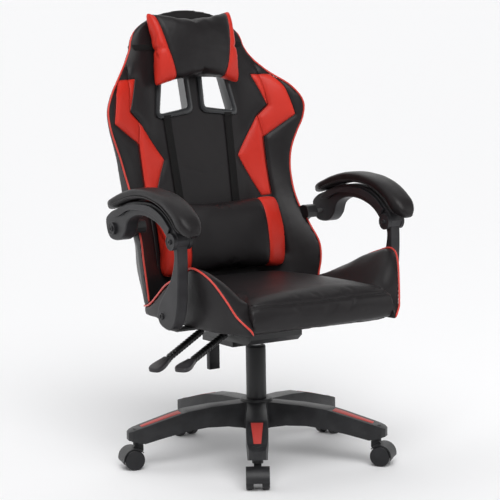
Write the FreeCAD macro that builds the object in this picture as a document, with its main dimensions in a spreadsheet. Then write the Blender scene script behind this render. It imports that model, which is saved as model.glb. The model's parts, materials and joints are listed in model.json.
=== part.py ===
"""A racing-style gaming chair on a five-legged caster base, in millimetres.

+Z is up, +X is the sitter's left and the chair faces -Y.  The origin is the point on the floor
under the gas column.  Every size is a cell of the sheet "Sizes"; the objects are bound to it.
"""
import FreeCAD, Part
import os
import re
import Sketcher

Vector, Rotation, Placement = FreeCAD.Vector, FreeCAD.Rotation, FreeCAD.Placement

# ---------------------------------------------------------------------------------------------
# Driving dimensions
# ---------------------------------------------------------------------------------------------
SIZES = {
    # fits
    "running_fit": 0.05,
    "soft_gap": 0.6,
    "open_pivot_gap": 1.5,
    # star base
    "leg_turn": -123,
    "leg_reach": 333,
    "stem_reach": 306,
    "leg_hub_width": 44,
    "leg_mid_width": 54,
    "leg_end_width": 40,
    "leg_wall": 5,
    "leg_underside": 60,
    "hub_top": 152,
    "hub_bottom": 78,
    "hub_top_radius": 38,
    "hub_bottom_radius": 46,
    "insert_start": 200,
    "insert_length": 100,
    "insert_wide_end": 30,
    "insert_narrow_end": 17.5,
    "insert_thickness": 4,
    "insert_proud": 0.8,
    # casters
    "wheel_radius": 25,
    "wheel_width": 18,
    "wheel_gap": 20,
    "wheel_rounding": 3,
    "caster_trail": 16,
    "axle_radius": 4,
    "stem_radius": 5.5,
    "stem_height": 28,
    "fork_thickness": 18,
    "hood_clearance": 1.6,
    "hood_wall": 2.6,
    "hood_sweep": 150,
    "hood_start": -10,
    # gas column
    "tube_radius": 25,
    "tube_wall": 2,
    "tube_bottom": 70,
    "tube_top": 281,
    "bush_length": 80,
    "collar_height": 4,
    "cylinder_radius": 14,
    "cylinder_wall": 2,
    "cylinder_bottom": 100,
    "cylinder_top": 346,
    "rod_radius": 5,
    "piston_height": 12,
    "piston_top": 326,
    "bearing_radius": 12,
    "bearing_height": 7,
    "clip_radius": 9,
    "clip_height": 4,
    # tilt mechanism
    "housing_width": 150,
    "housing_wall": 3,
    "housing_front": -95,
    "housing_rear": 112,
    "housing_bottom": 302,
    "housing_top": 360,
    "housing_rear_top": 322,
    "tilt_pin_back": -55,
    "tilt_pin_up": 345,
    "tilt_pin_radius": 6,
    "socket_wall": 6,
    "spring_back": 66,
    "spring_radius": 17,
    "spring_inner_radius": 12,
    "bracket_width": 44,
    "bracket_rear": 216,
    "bracket_bottom": 270,
    "bracket_top": 296,
    "grip_back": 201,
    "grip_width": 31,
    "grip_depth": 15,
    "grip_bottom": 193,
    "grip_top": 256,
    "screw_radius": 5,
    # levers under the seat
    "lever_rod_radius": 4,
    "lever_hole_slack": 1.2,
    "lever_up": 324,
    "lever_inner_end": 62,
    "lift_lever_back": 63,
    "lift_lever_knee": 118,
    "lift_paddle_out": 300,
    "lift_paddle_back": -7,
    "lift_paddle_up": 256,
    "lock_lever_back": -17,
    "lock_lever_knee": 100,
    "lock_paddle_out": 300,
    "lock_paddle_back": -133,
    "lock_paddle_up": 276,
    "sleeve_radius": 8,
    "paddle_length": 62,
    "paddle_width": 30,
    "paddle_thickness": 9,
    # seat
    "plate_thickness": 4,
    "plate_width": 200,
    "plate_front": -130,
    "plate_rear": 150,
    "seat_bottom": 370,
    "board_width": 370,
    "board_front": -285,
    "board_rear": 105,
    "board_thickness": 10,
    "seat_front": -306,
    "seat_rear": 158,
    "seat_crown": 452,
    "seat_front_top": 440,
    "cushion_half": 188,
    "bolt_radius": 4,
    "bolt_head_radius": 7,
    "bolt_head_height": 3.6,
    "bolt_across": 180,
    "bolt_front": -112,
    "bolt_rear": 132,
    # arm mounts and recline hinges
    "bracket_steel": 5,
    "arm_tab_inner": 283,
    "arm_tab_depth": 44,
    "post_pivot_back": -93,
    "post_pivot_up": 402,
    "arm_pivot_back": -155,
    "arm_pivot_up": 585,
    "rear_pivot_back": 125,
    "rear_pivot_up": 590,
    "hinge_plate_steel": 4,
    "hinge_plate_inner": 264.5,
    "hinge_plate_gap": 0.5,
    "hinge_pin_radius": 6,
    # arms
    "arm_centre": 308,
    "link_width": 50,
    "pad_width": 62,
    "post_thickness": 32,
    "barrel_radius": 20,
    "cheek_thickness": 7,
    "cheek_gap": 1,
    "arm_pin_radius": 6,
    "rear_pin_radius": 5,
    # back
    "back_lean": 12,
    "back_foot_back": 170,
    "back_foot_up": 420,
    "back_length": 706,
    "back_thickness": 65,
    "shoulder_width": 584,
    "wing_reach": 95,
    "wing_lip": 9,
    "frame_radius": 9,
    "frame_gap": 0.4,
    "frame_half": 172,
    "frame_deep": 28,
    "frame_shoulder_drop": 240,
    "frame_head_drop": 92,
    "frame_head_half": 93,
    "opening_below_top": 260,
    "opening_height": 129,
    "opening_slope": 12,
    "opening_inner": 31,
    "opening_outer_low": 100,
    "opening_outer_high": 73,
    "ring_wall": 5,
    "ring_flange": 12,
    "ring_flange_proud": 3,
    "strap_width": 22,
    "strap_thickness": 1.5,
    "strap_top_centre": 91,
    "strap_foot_centre": 82,
    "strap_foot_up": 24,
    # pillows
    "head_pillow_width": 262,
    "head_pillow_height": 184,
    "head_pillow_depth": 66,
    "head_pillow_drop": 98,
    "head_band_drop": 105,
    "head_band_width": 22,
    "head_band_thickness": 2,
    "lumbar_width": 386,
    "lumbar_height": 192,
    "lumbar_depth": 92,
    "lumbar_up": 119,
}

# Backrest outline from the foot up: height and half width as shares of the back's length and
# shoulder width, wing as a share of the wing's reach, the side's rear edge and the middle's depth
# as shares of the thickness.
BACK_STATIONS = [
    (-0.036, 0.440, 0.90, -0.90, 1.00),
    (0.103, 0.450, 1.00, -1.05, 1.00),
    (0.166, 0.436, 0.84, -0.75, 1.00),
    (0.230, 0.420, 0.63, -0.12, 1.00),
    (0.292, 0.415, 0.46, 0.28, 1.00),
    (0.412, 0.425, 0.32, 0.06, 1.00),
    (0.524, 0.466, 0.45, -0.42, 1.00),
    (0.578, 0.496, 0.61, -0.71, 0.94),
    (0.634, 0.500, 0.68, -0.81, 0.80),
    (0.695, 0.458, 0.55, -0.62, 0.78),
    (0.764, 0.379, 0.18, -0.08, 0.76),
    (0.828, 0.317, 0.02, 0.16, 0.75),
    (0.912, 0.272, 0.00, 0.18, 0.73),
    (0.972, 0.212, 0.00, 0.18, 0.65),
    (1.000, 0.130, 0.00, 0.18, 0.50),
]

# Side bolster from front to rear: distance back, how far the foot and the ridge stand outside the
# cushion, and the ridge's height.
BOLSTER_STATIONS = [
    (-303, 16, 20, 384),
    (-284, 27, 43, 411),
    (-249, 44, 67, 471),
    (-214, 55, 88, 510),
    (-177, 61, 96, 521),
    (-100, 63, 90, 497),
    (-20, 62, 81, 461),
    (50, 59, 69, 425),
    (98, 55, 61, 396),
]
for number, (up, half, wing, side, deep) in enumerate(BACK_STATIONS):
    SIZES[f"back_up_{number}"] = up
    SIZES[f"back_half_{number}"] = half
    SIZES[f"back_wing_{number}"] = wing
    SIZES[f"back_side_{number}"] = side
    SIZES[f"back_deep_{number}"] = deep
for number, (back, foot, ridge, top) in enumerate(BOLSTER_STATIONS):
    SIZES[f"bolster_back_{number}"] = back
    SIZES[f"bolster_foot_{number}"] = foot
    SIZES[f"bolster_ridge_{number}"] = ridge
    SIZES[f"bolster_top_{number}"] = top

doc = FreeCAD.newDocument("gaming_chair")
sheet = doc.addObject("Spreadsheet::Sheet", "Sizes")
for row, (alias, number) in enumerate(SIZES.items(), 1):
    sheet.set(f"A{row}", alias)
    sheet.set(f"B{row}", str(number))
    sheet.setAlias(f"B{row}", alias)
doc.recompute()

NODES = []


# ---------------------------------------------------------------------------------------------
# Helpers: every text is an expression in the sheet's aliases
# ---------------------------------------------------------------------------------------------
def cells(text):
    """The expression with each alias written as a cell of the sheet."""
    return re.sub(r"[a-z_]\w*", lambda m: f"Sizes.{m[0]}" if m[0] in SIZES else m[0], str(text))


def value(text):
    """The number that an expression comes to."""
    return float(sheet.evalExpression(cells(text)))


def bind(thing, **texts):
    """Binds properties of an object to expressions."""
    for name, text in texts.items():
        thing.setExpression(name, cells(text))
    return thing


def place(thing, x=0, y=0, z=0, axis=(0, 0, 1), turn=None):
    """Puts an object at a bound point, turned by a bound angle about an axis."""
    spin = Rotation()
    if turn is not None:
        back = value(turn) < 0
        turn = f"-({turn})" if back else turn
        spin = Rotation(Vector(*axis) * (-1 if back else 1), value(turn))
    thing.Placement = Placement(Vector(value(x), value(y), value(z)), spin)
    for name, text in (("x", x), ("y", y), ("z", z)):
        thing.setExpression(f"Placement.Base.{name}", cells(text))
    if turn is not None:
        thing.setExpression("Placement.Rotation.Angle", cells(turn))
    return thing


def block(name, x, y, z):
    """A box between two bounds on each axis."""
    box = doc.addObject("Part::Box", name)
    bind(box, Length=f"({x[1]}) - ({x[0]})", Width=f"({y[1]}) - ({y[0]})", Height=f"({z[1]}) - ({z[0]})")
    return place(box, x[0], y[0], z[0])


def cylinder(name, radius, length, x=0, y=0, z=0, along="z"):
    """A cylinder that starts at a point and runs along +X, +Y or +Z."""
    rod = doc.addObject("Part::Cylinder", name)
    bind(rod, Radius=radius, Height=length)
    axis, turn = {"x": ((0, 1, 0), 90), "y": ((-1, 0, 0), 90), "z": ((0, 0, 1), None)}[along]
    return place(rod, x, y, z, axis, turn)


def fuse(name, *things):
    """One solid from several."""
    whole = doc.addObject("Part::MultiFuse", name)
    whole.Shapes = list(things)
    whole.Refine = True
    return whole


def cut(name, base, *tools):
    """The base with the tools cut away."""
    rest = doc.addObject("Part::Cut", name)
    rest.Base = base
    rest.Tool = tools[0] if len(tools) == 1 else group(f"{name}_tools", *tools)
    return rest


def common(name, first, second):
    """What two solids share."""
    both = doc.addObject("Part::Common", name)
    both.Base, both.Tool = first, second
    return both


def group(name, *things):
    """Several solids as one object, which has a placement of its own."""
    whole = doc.addObject("Part::Compound", name)
    whole.Links = list(things)
    return whole


def outline(body, role, points, offset=0):
    """A closed sketch on one of the body's origin planes, each corner bound to the sheet."""
    sketch = body.newObject("Sketcher::SketchObject", f"{body.Name}_outline")
    plane = next(o for o in body.Origin.OriginFeatures if o.Role == role)
    sketch.AttachmentSupport = [(plane, "")]
    sketch.MapMode = "FlatFace"
    sketch.setExpression("AttachmentOffset.Base.z", cells(offset))
    corners = [Vector(value(a), value(b), 0) for a, b in points]
    count = len(points)
    for i in range(count):
        sketch.addGeometry(Part.LineSegment(corners[i], corners[(i + 1) % count]))
    for i in range(count):
        sketch.addConstraint(Sketcher.Constraint("Coincident", i, 2, (i + 1) % count, 1))
        for kind, number, text in (("DistanceX", corners[i].x, points[i][0]),
                                   ("DistanceY", corners[i].y, points[i][1])):
            index = sketch.addConstraint(Sketcher.Constraint(kind, -1, 1, i, 1, number))
            sketch.setExpression(f"Constraints[{index}]", cells(text))
    return sketch


def pad(name, role, points, start, length):
    """An outline padded along its plane's normal: +X for YZ_Plane, +Z for XY_Plane, -Y for XZ_Plane."""
    body = doc.addObject("PartDesign::Body", name)
    sketch = outline(body, role, points, start)
    solid = body.newObject("PartDesign::Pad", f"{name}_pad")
    solid.Profile = sketch
    bind(solid, Length=length)
    return body


def turned(name, points):
    """An outline of (radius, height) points turned about the vertical axis."""
    body = doc.addObject("PartDesign::Body", name)
    sketch = outline(body, "XZ_Plane", points)
    solid = body.newObject("PartDesign::Revolution", f"{name}_turn")
    solid.Profile = sketch
    solid.ReferenceAxis = (sketch, ["V_Axis"])
    solid.Angle = 360
    return body


def lofted(name, role, stations):
    """A ruled loft through outlines at bound offsets from one origin plane."""
    body = doc.addObject("PartDesign::Body", name)
    sketches = [outline(body, role, points, offset) for offset, points in stations]
    solid = body.newObject("PartDesign::AdditiveLoft", f"{name}_loft")
    solid.Profile = sketches[0]
    solid.Sections = sketches[1:]
    solid.Ruled = True
    return body


def between(name, radius, start, end):
    """A cylinder from one point to another, placed from the sheet's values."""
    low, high = (Vector(*[value(text) for text in point]) for point in (start, end))
    spans = [f"(({b}) - ({a}))" for a, b in zip(start, end)]
    rod = doc.addObject("Part::Cylinder", name)
    bind(rod, Radius=radius, Height=f"sqrt({' + '.join(f'{span} * {span}' for span in spans)})")
    rod.Placement = Placement(low, Rotation(Vector(0, 0, 1), high - low))
    return rod


def ball(name, radius, centre):
    """A sphere, which rounds the joint of two tubes."""
    sphere = doc.addObject("Part::Sphere", name)
    bind(sphere, Radius=radius)
    return place(sphere, *centre)


def node(label, thing):
    """Keeps an object as a sub-part under its label."""
    thing.Label = label
    NODES.append(thing)
    return thing


def back_node(label, *things):
    """Keeps what is drawn in the backrest's own frame, +Z up the back and +Y to its rear."""
    whole = group(f"{label}_placed", *things)
    return node(label, place(whole, 0, "back_foot_back", "back_foot_up", (1, 0, 0), "-back_lean"))


# ---------------------------------------------------------------------------------------------
# Star base: hub, five hollow legs with an insert each
# ---------------------------------------------------------------------------------------------
def leg_blank(name, inset):
    """A leg along +X as its side view crossed with its plan, both drawn in by an inset."""
    low = f"leg_underside - 20 * {inset}" if inset != "0" else "leg_underside + 3"
    side = pad(f"{name}_side", "XZ_Plane", [
        ("30", f"hub_top - 6 - ({inset})"),
        ("119", f"hub_top - 10 - ({inset})"),
        ("185", f"hub_top - 17 - ({inset})"),
        ("224", f"hub_top - 27 - ({inset})"),
        ("stem_reach + 10", f"hub_top - 53 - ({inset})"),
        (f"leg_reach - ({inset})", f"hub_top - 60 - ({inset})"),
        (f"leg_reach - ({inset})", "leg_underside + 12" if inset == "0" else low),
        ("stem_reach - 11", low),
        ("243", "leg_underside + 15" if inset == "0" else low),
        ("188", "leg_underside + 26" if inset == "0" else low),
        ("136", "leg_underside + 31" if inset == "0" else low),
        ("83", "leg_underside + 29" if inset == "0" else low),
        ("30", "hub_bottom + 2" if inset == "0" else low),
    ], "-leg_mid_width", "2 * leg_mid_width")
    plan = pad(f"{name}_plan", "XY_Plane", [
        ("30", f"-leg_hub_width / 2 + ({inset})"),
        ("215", f"-leg_mid_width / 2 + ({inset})"),
        (f"stem_reach - 6 - ({inset})", f"-leg_mid_width / 2 + 3 + ({inset})"),
        (f"leg_reach - 8 - ({inset})", f"-leg_end_width / 2 + ({inset})"),
        (f"leg_reach - ({inset})", f"-leg_end_width / 4 + ({inset})"),
        (f"leg_reach - ({inset})", f"leg_end_width / 4 - ({inset})"),
        (f"leg_reach - 8 - ({inset})", f"leg_end_width / 2 - ({inset})"),
        (f"stem_reach - 6 - ({inset})", f"leg_mid_width / 2 - 3 - ({inset})"),
        ("215", f"leg_mid_width / 2 - ({inset})"),
        ("30", f"leg_hub_width / 2 - ({inset})"),
    ], "leg_underside - 60", "hub_top")
    return common(name, side, plan)


def insert_solid():
    """The tapered insert in a leg's sloping top face."""
    rise = "insert_proud"
    side = pad("insert_side", "XZ_Plane", [
        ("insert_start", f"hub_top - 21 + {rise}"),
        ("224", f"hub_top - 27 + {rise}"),
        ("insert_start + insert_length", f"hub_top - 48.5 + {rise}"),
        ("insert_start + insert_length", f"hub_top - 48.5 + {rise} - insert_thickness"),
        ("224", f"hub_top - 27 + {rise} - insert_thickness"),
        ("insert_start", f"hub_top - 21 + {rise} - insert_thickness"),
    ], "-leg_mid_width / 2", "leg_mid_width")
    plan = pad("insert_plan", "XY_Plane", [
        ("insert_start", "-insert_wide_end / 2"),
        ("insert_start + insert_length", "-insert_narrow_end / 2"),
        ("insert_start + insert_length", "insert_narrow_end / 2"),
        ("insert_start", "insert_wide_end / 2"),
    ], "hub_bottom", "hub_top - hub_bottom")
    return common("insert", side, plan)


LEGS = range(5)
hub = turned("hub", [
    ("tube_radius", "hub_bottom"),
    ("hub_bottom_radius - 8", "hub_bottom"),
    ("hub_bottom_radius", "hub_bottom + 10"),
    ("hub_top_radius + 3", "hub_top - 6"),
    ("hub_top_radius", "hub_top"),
    ("tube_radius", "hub_top"),
])
leg_insert = insert_solid()
boss = cylinder("stem_boss", "stem_radius + 8", "stem_height + 12", "stem_reach", 0, "leg_underside")
socket = cylinder("stem_socket", "stem_radius + running_fit", "stem_height + 1", "stem_reach", 0,
                  "leg_underside")
hollow = cut("leg_hollow_clear", leg_blank("leg_hollow", "leg_wall"), cylinder(
    "hub_keep", "hub_bottom_radius", "2 * hub_top", 0, 0, "0"))
leg = cut("leg", fuse("leg_with_boss", cut("leg_shell", leg_blank("leg_outer", "0"), hollow), boss),
          leg_insert, socket)
turns = [f"leg_turn + {72 * i}" for i in LEGS]
legs = [place(group(f"leg_{i + 1}", leg), turn=turns[i]) for i in LEGS]
bore = cylinder("column_bore", "tube_radius", "2 * hub_top")
node("star_base", cut("star_base", fuse("star", hub, *legs), bore))
node("leg_inserts", group("leg_inserts", *[
    place(group(f"insert_{i + 1}", leg_insert), turn=turns[i]) for i in LEGS]))

# ---------------------------------------------------------------------------------------------
# Casters: each drawn along +X from its stem, then turned to its leg
# ---------------------------------------------------------------------------------------------
AXLE = ("caster_trail", "wheel_radius")


def caster_fork():
    """The web between the wheels, its stem boss and the hood over both wheels."""
    web = pad("fork_web", "XZ_Plane", [
        ("-10", "leg_underside - 1"),
        ("10", "leg_underside - 1"),
        ("caster_trail + 10", "wheel_radius + 22"),
        ("caster_trail + 13", "wheel_radius + 4"),
        ("caster_trail + 6", "wheel_radius - 9"),
        ("caster_trail - 6", "wheel_radius - 9"),
        ("caster_trail - 12", "wheel_radius + 5"),
        ("-10", "wheel_radius + 20"),
    ], "-fork_thickness / 2", "fork_thickness")
    across = "2 * wheel_width + wheel_gap"
    dome = doc.addObject("Part::Cylinder", "hood_outer")
    bind(dome, Radius="wheel_radius + hood_clearance + hood_wall", Height=across, Angle="hood_sweep")
    dome.Placement = Placement(Vector(), Rotation(Vector(1, 0, 0), 90))
    inner = cylinder("hood_inner", "wheel_radius + hood_clearance", f"{across} + 4", 0, f"-({across}) - 2",
                     0, "y")
    shell = place(group("hood_turned", cut("hood_shell", dome, inner)), turn="-hood_start", axis=(0, 1, 0))
    hood = place(group("hood", shell), AXLE[0], f"({across}) / 2", AXLE[1])
    hole = cylinder("axle_hole", "axle_radius + running_fit", "2 * wheel_width", AXLE[0], "-wheel_width",
                    AXLE[1], "y")
    grip = cylinder("stem_hole", "stem_radius", "stem_height", 0, 0, "leg_underside - 12")
    return cut("caster_fork", fuse("fork_solid", web, hood), hole, grip)


def caster_wheels():
    """The twin wheels on their common axle."""
    discs = []
    for name, start in (("near", "-wheel_gap / 2 - wheel_width"), ("far", "wheel_gap / 2")):
        disc = cylinder(f"wheel_{name}", "wheel_radius", "wheel_width", AXLE[0], start, AXLE[1], "y")
        doc.recompute()
        rounded = doc.addObject("Part::Fillet", f"wheel_{name}_rounded")
        rounded.Base = disc
        rims = [i + 1 for i, edge in enumerate(disc.Shape.Edges) if edge.Closed]
        rounded.Edges = [(i, value("wheel_rounding"), value("wheel_rounding")) for i in rims]
        discs.append(rounded)
    axle = cylinder("axle", "axle_radius", "wheel_gap + 2", AXLE[0], "-wheel_gap / 2 - 1", AXLE[1], "y")
    return fuse("caster_wheels", axle, *discs)


fork, wheels = caster_fork(), caster_wheels()
stem = cylinder("caster_stem", "stem_radius", "stem_height + 11.5", 0, 0, "leg_underside - 12")
for i in LEGS:
    spot = (f"stem_reach * cos({turns[i]})", f"stem_reach * sin({turns[i]})")
    for name, thing in (("caster_fork", fork), ("caster_stem", stem), ("caster_wheels", wheels)):
        label = f"{name}_{i + 1}"
        node(label, place(group(label, thing), *spot, 0, turn=turns[i]))

# ---------------------------------------------------------------------------------------------
# Gas column
# ---------------------------------------------------------------------------------------------
rod_hole = "rod_radius + 0.5"
node("column_tube", turned("column_tube", [
    (rod_hole, "tube_bottom"),
    ("tube_radius", "tube_bottom"),
    ("tube_radius", "tube_top"),
    ("tube_radius - tube_wall", "tube_top"),
    ("tube_radius - tube_wall", "tube_bottom + 5"),
    (rod_hole, "tube_bottom + 5"),
]))
node("column_bush", turned("column_bush", [
    ("cylinder_radius + running_fit", "tube_top - bush_length"),
    ("tube_radius - tube_wall", "tube_top - bush_length"),
    ("tube_radius - tube_wall", "tube_top"),
    ("tube_radius", "tube_top"),
    ("tube_radius - 2", "tube_top + collar_height"),
    ("cylinder_radius + running_fit", "tube_top + collar_height"),
]))
node("piston_rod", turned("piston_rod", [
    ("0", "tube_bottom - clip_height - 3"),
    ("rod_radius", "tube_bottom - clip_height - 3"),
    ("rod_radius", "piston_top - piston_height"),
    ("cylinder_radius - cylinder_wall - running_fit", "piston_top - piston_height"),
    ("cylinder_radius - cylinder_wall - running_fit", "piston_top"),
    ("0", "piston_top"),
]))
node("thrust_bearing", turned("thrust_bearing", [
    ("rod_radius", "tube_bottom + 5.1"),
    ("bearing_radius", "tube_bottom + 5.1"),
    ("bearing_radius", "tube_bottom + 5.1 + bearing_height"),
    ("rod_radius", "tube_bottom + 5.1 + bearing_height"),
]))
node("rod_clip", turned("rod_clip", [
    ("rod_radius", "tube_bottom - 0.4 - clip_height"),
    ("clip_radius", "tube_bottom - 0.4 - clip_height"),
    ("clip_radius", "tube_bottom - 0.4"),
    ("rod_radius", "tube_bottom - 0.4"),
]))
node("gas_cylinder", turned("gas_cylinder", [
    ("rod_radius + running_fit", "cylinder_bottom"),
    ("cylinder_radius", "cylinder_bottom"),
    ("cylinder_radius", "cylinder_top"),
    ("0", "cylinder_top"),
    ("0", "cylinder_top - 10"),
    ("cylinder_radius - cylinder_wall", "cylinder_top - 10"),
    ("cylinder_radius - cylinder_wall", "cylinder_bottom + 6"),
    ("rod_radius + running_fit", "cylinder_bottom + 6"),
]))

# ---------------------------------------------------------------------------------------------
# Tilt mechanism: pan with the column's socket, pin, spring and the tension screw's bracket
# ---------------------------------------------------------------------------------------------
HALF_PAN = "housing_width / 2"
PAN_SIDE = [
    ("housing_front", "housing_bottom + 14"),
    ("housing_front + 18", "housing_bottom"),
    ("housing_rear", "housing_bottom"),
    ("housing_rear", "housing_rear_top"),
    ("housing_front + 55", "housing_top"),
    ("housing_front", "housing_top"),
]
pan = pad("pan", "YZ_Plane", PAN_SIDE, f"-{HALF_PAN}", "housing_width")
room = block("pan_room", (f"-{HALF_PAN} + housing_wall", f"{HALF_PAN} - housing_wall"),
             ("housing_front + housing_wall", "housing_rear - housing_wall"),
             ("housing_bottom + housing_wall + 11", "housing_top + 20"))
collar = cylinder("socket_wall_solid", "cylinder_radius + socket_wall", "cylinder_top - housing_bottom", 0,
                  0, "housing_bottom")
tail = block("tail", ("-bracket_width / 2", "bracket_width / 2"), ("housing_rear - 40", "bracket_rear"),
             ("bracket_bottom", "bracket_top"))
neck = block("tail_neck", ("-bracket_width / 2", "bracket_width / 2"),
             ("housing_rear - 40", "housing_rear"),
             ("bracket_top", "housing_bottom + 1"))
pin_hole = cylinder("pin_hole", "tilt_pin_radius", "housing_width + 40", f"-{HALF_PAN} - 20",
                    "tilt_pin_back", "tilt_pin_up", "x")
column_seat = cylinder("column_seat", "cylinder_radius", "cylinder_top", 0, 0, "housing_bottom - 10")
screw_hole = cylinder("screw_hole", "screw_radius + running_fit", "80", 0, "grip_back",
                      "bracket_bottom - 20")
lever_holes = [cylinder(f"{name}_hole", "lever_rod_radius + lever_hole_slack", "20", f"-{HALF_PAN} - 10",
                        back, "lever_up", "x")
               for name, back in (("lift_lever", "lift_lever_back"), ("lock_lever", "lock_lever_back"))]
node("tilt_housing", cut("tilt_housing", fuse("pan_with_socket", cut("pan_open", pan, room), collar, tail,
                                              neck),
                         pin_hole, column_seat, screw_hole, *lever_holes))
FLANGE = f"{HALF_PAN} + 0.5"
node("tilt_pin", cylinder("tilt_pin", "tilt_pin_radius", "housing_width + 2 * plate_thickness + 8",
                          f"-{HALF_PAN} - plate_thickness - 4", "tilt_pin_back", "tilt_pin_up", "x"))
node("tilt_spring", cut("tilt_spring", cylinder(
    "spring_outer", "spring_radius", "seat_bottom - plate_thickness - housing_bottom - housing_wall - 11.6",
    0, "spring_back", "housing_bottom + housing_wall + 11"), cylinder(
    "spring_inner", "spring_inner_radius", "seat_bottom", 0, "spring_back", "housing_bottom")))
node("tension_screw", fuse("tension_screw", cylinder(
    "screw_shank", "screw_radius", "bracket_top + 8 - grip_top", 0, "grip_back", "grip_top"), cylinder(
    "screw_head", "screw_radius + 4", "6", 0, "grip_back", "bracket_top + 1")))
node("tension_grip", block("tension_grip", ("-grip_width / 2", "grip_width / 2"),
                           ("grip_back - grip_depth / 2", "grip_back + grip_depth / 2"),
                           ("grip_bottom", "grip_top")))


# ---------------------------------------------------------------------------------------------
# Levers: a bent rod, a sleeve over its slanting stretch and a paddle at its end
# ---------------------------------------------------------------------------------------------
def lever(name, back, knee, end):
    """A lever that leaves the housing's -X wall."""
    inner = ("-lever_inner_end", back, "lever_up")
    bend = (f"-({knee})", back, "lever_up")
    span = [f"({b}) - ({a})" for a, b in zip(bend, end)]
    share = f"paddle_length / sqrt({' + '.join(f'({part}) * ({part})' for part in span)})"
    stop = tuple(f"{b} - ({part}) * {share}" for part, b in zip(span, end))
    sleeve = between(f"{name}_sleeve_outer", "sleeve_radius", bend, stop)
    straight = between(f"{name}_inner", "lever_rod_radius", inner, bend)
    slanted = between(f"{name}_outer", "lever_rod_radius", bend, stop)
    rod = fuse(f"{name}_bar", straight, slanted, ball(f"{name}_bend", "lever_rod_radius", bend))
    paddle = lofted(f"{name}_blade", "XY_Plane", [(f"paddle_length * {share_up}", [
        (f"-paddle_width * {half}", f"-paddle_thickness * {deep}"),
        (f"paddle_width * {half}", f"-paddle_thickness * {deep}"),
        (f"paddle_width * {half}", f"paddle_thickness * {deep}"),
        (f"-paddle_width * {half}", f"paddle_thickness * {deep}"),
    ]) for share_up, half, deep in ((0, 0.27, 0.5), (0.25, 0.4, 0.5), (0.7, 0.5, 0.45), (0.92, 0.42, 0.4),
                                    (1, 0.24, 0.3))])
    low, high = (Vector(*[value(text) for text in point]) for point in (stop, end))
    along = (high - low).normalize()
    flat = Vector(0, 0, 1).cross(along).normalize()
    paddle.Placement = Placement(low, Rotation(flat, along.cross(flat) * -1, along, "ZXY"))
    node(f"{name}_rod", rod)
    node(f"{name}_sleeve", cut(f"{name}_sleeve_tube", sleeve, rod))
    node(f"{name}_paddle", paddle)


lever("lift_lever", "lift_lever_back", "lift_lever_knee",
      ("-lift_paddle_out", "lift_paddle_back", "lift_paddle_up"))
lever("lock_lever", "lock_lever_back", "lock_lever_knee",
      ("-lock_paddle_out", "lock_paddle_back", "lock_paddle_up"))

# ---------------------------------------------------------------------------------------------
# Seat
# ---------------------------------------------------------------------------------------------
PLATE_BOTTOM = "seat_bottom - plate_thickness"
plate = block("plate", ("-plate_width / 2", "plate_width / 2"), ("plate_front", "plate_rear"),
              (PLATE_BOTTOM, "seat_bottom"))
BOLTS = [(f"{side} * bolt_across / 2", back) for side in (-1, 1) for back in ("bolt_front", "bolt_rear")]
BOARD_TOP = "seat_bottom + board_thickness"
shanks = [cylinder(f"shank_{i}", "bolt_radius", f"{BOARD_TOP} - 2 - ({PLATE_BOTTOM})", x, y, PLATE_BOTTOM)
          for i, (x, y) in enumerate(BOLTS)]
heads = [cylinder(f"head_{i}", "bolt_head_radius", "bolt_head_height", x, y,
                  f"{PLATE_BOTTOM} - bolt_head_height")
         for i, (x, y) in enumerate(BOLTS)]
flanges = [pad(f"flange_{i}", "YZ_Plane", [
    ("tilt_pin_back - 26", PLATE_BOTTOM),
    ("tilt_pin_back - 14", "tilt_pin_up - 14"),
    ("tilt_pin_back + 14", "tilt_pin_up - 14"),
    ("tilt_pin_back + 26", PLATE_BOTTOM),
], start, "plate_thickness") for i, start in enumerate((f"-({FLANGE}) - plate_thickness", FLANGE))]
pivot_hole = cylinder("pivot_hole", "tilt_pin_radius + running_fit", "housing_width + 60",
                      f"-{HALF_PAN} - 30",
                      "tilt_pin_back", "tilt_pin_up", "x")
node("seat_plate", cut("seat_plate", fuse("plate_with_flanges", plate, *flanges), pivot_hole, *shanks))
board = block("board", ("-board_width / 2", "board_width / 2"), ("board_front", "board_rear"),
              ("seat_bottom", BOARD_TOP))
node("seat_board", cut("seat_board", board, *shanks))
node("seat_bolts", group("seat_bolts", *[fuse(f"bolt_{i}", shanks[i],
                                              heads[i]) for i in range(len(BOLTS))]))
cushion_side = pad("cushion_side", "YZ_Plane", [
    ("seat_front + 2", "seat_bottom + 4"),
    ("board_front - 1", "seat_bottom + 4"),
    ("board_front - 1", BOARD_TOP),
    ("seat_rear", BOARD_TOP),
    ("seat_rear", "seat_front_top - 8"),
    ("seat_rear - 120", "seat_crown - 4"),
    ("seat_front + 130", "seat_crown"),
    ("seat_front + 40", "seat_front_top + 8"),
    ("seat_front + 8", "seat_front_top - 2"),
    ("seat_front", "seat_front_top - 34"),
], "-cushion_half", "2 * cushion_half")
cushion_right = [("cushion_half", "seat_front - 5"), ("cushion_half", "seat_rear - 54"),
                 ("cushion_half - 54", "seat_rear + 1")]
cushion_plan = pad("cushion_plan", "XY_Plane",
                   cushion_right + [(f"-({x})", y) for x, y in reversed(cushion_right)],
                   "seat_bottom", "2 * (seat_crown - seat_bottom)")
node("seat_cushion", common("seat_cushion", cushion_side, cushion_plan))


def bolster(name, side):
    """The raised side of the seat, which grows from the front corner to a peak and falls to the rear."""
    stations = []
    for i in range(len(BOLSTER_STATIONS)):
        corners = [
            ("cushion_half", "seat_bottom + 1"),
            (f"cushion_half + bolster_foot_{i}", "seat_bottom + 1"),
            (f"cushion_half + bolster_ridge_{i}", f"bolster_top_{i} - 8"),
            (f"cushion_half + bolster_ridge_{i} - 9", f"bolster_top_{i}"),
            ("cushion_half", f"min(bolster_top_{i} - 2; seat_front_top + 4)"),
        ]
        stations.append((f"-bolster_back_{i}", [(f"{side} * ({x})", z) for x, z in corners]))
    return lofted(name, "XZ_Plane", stations)


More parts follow.
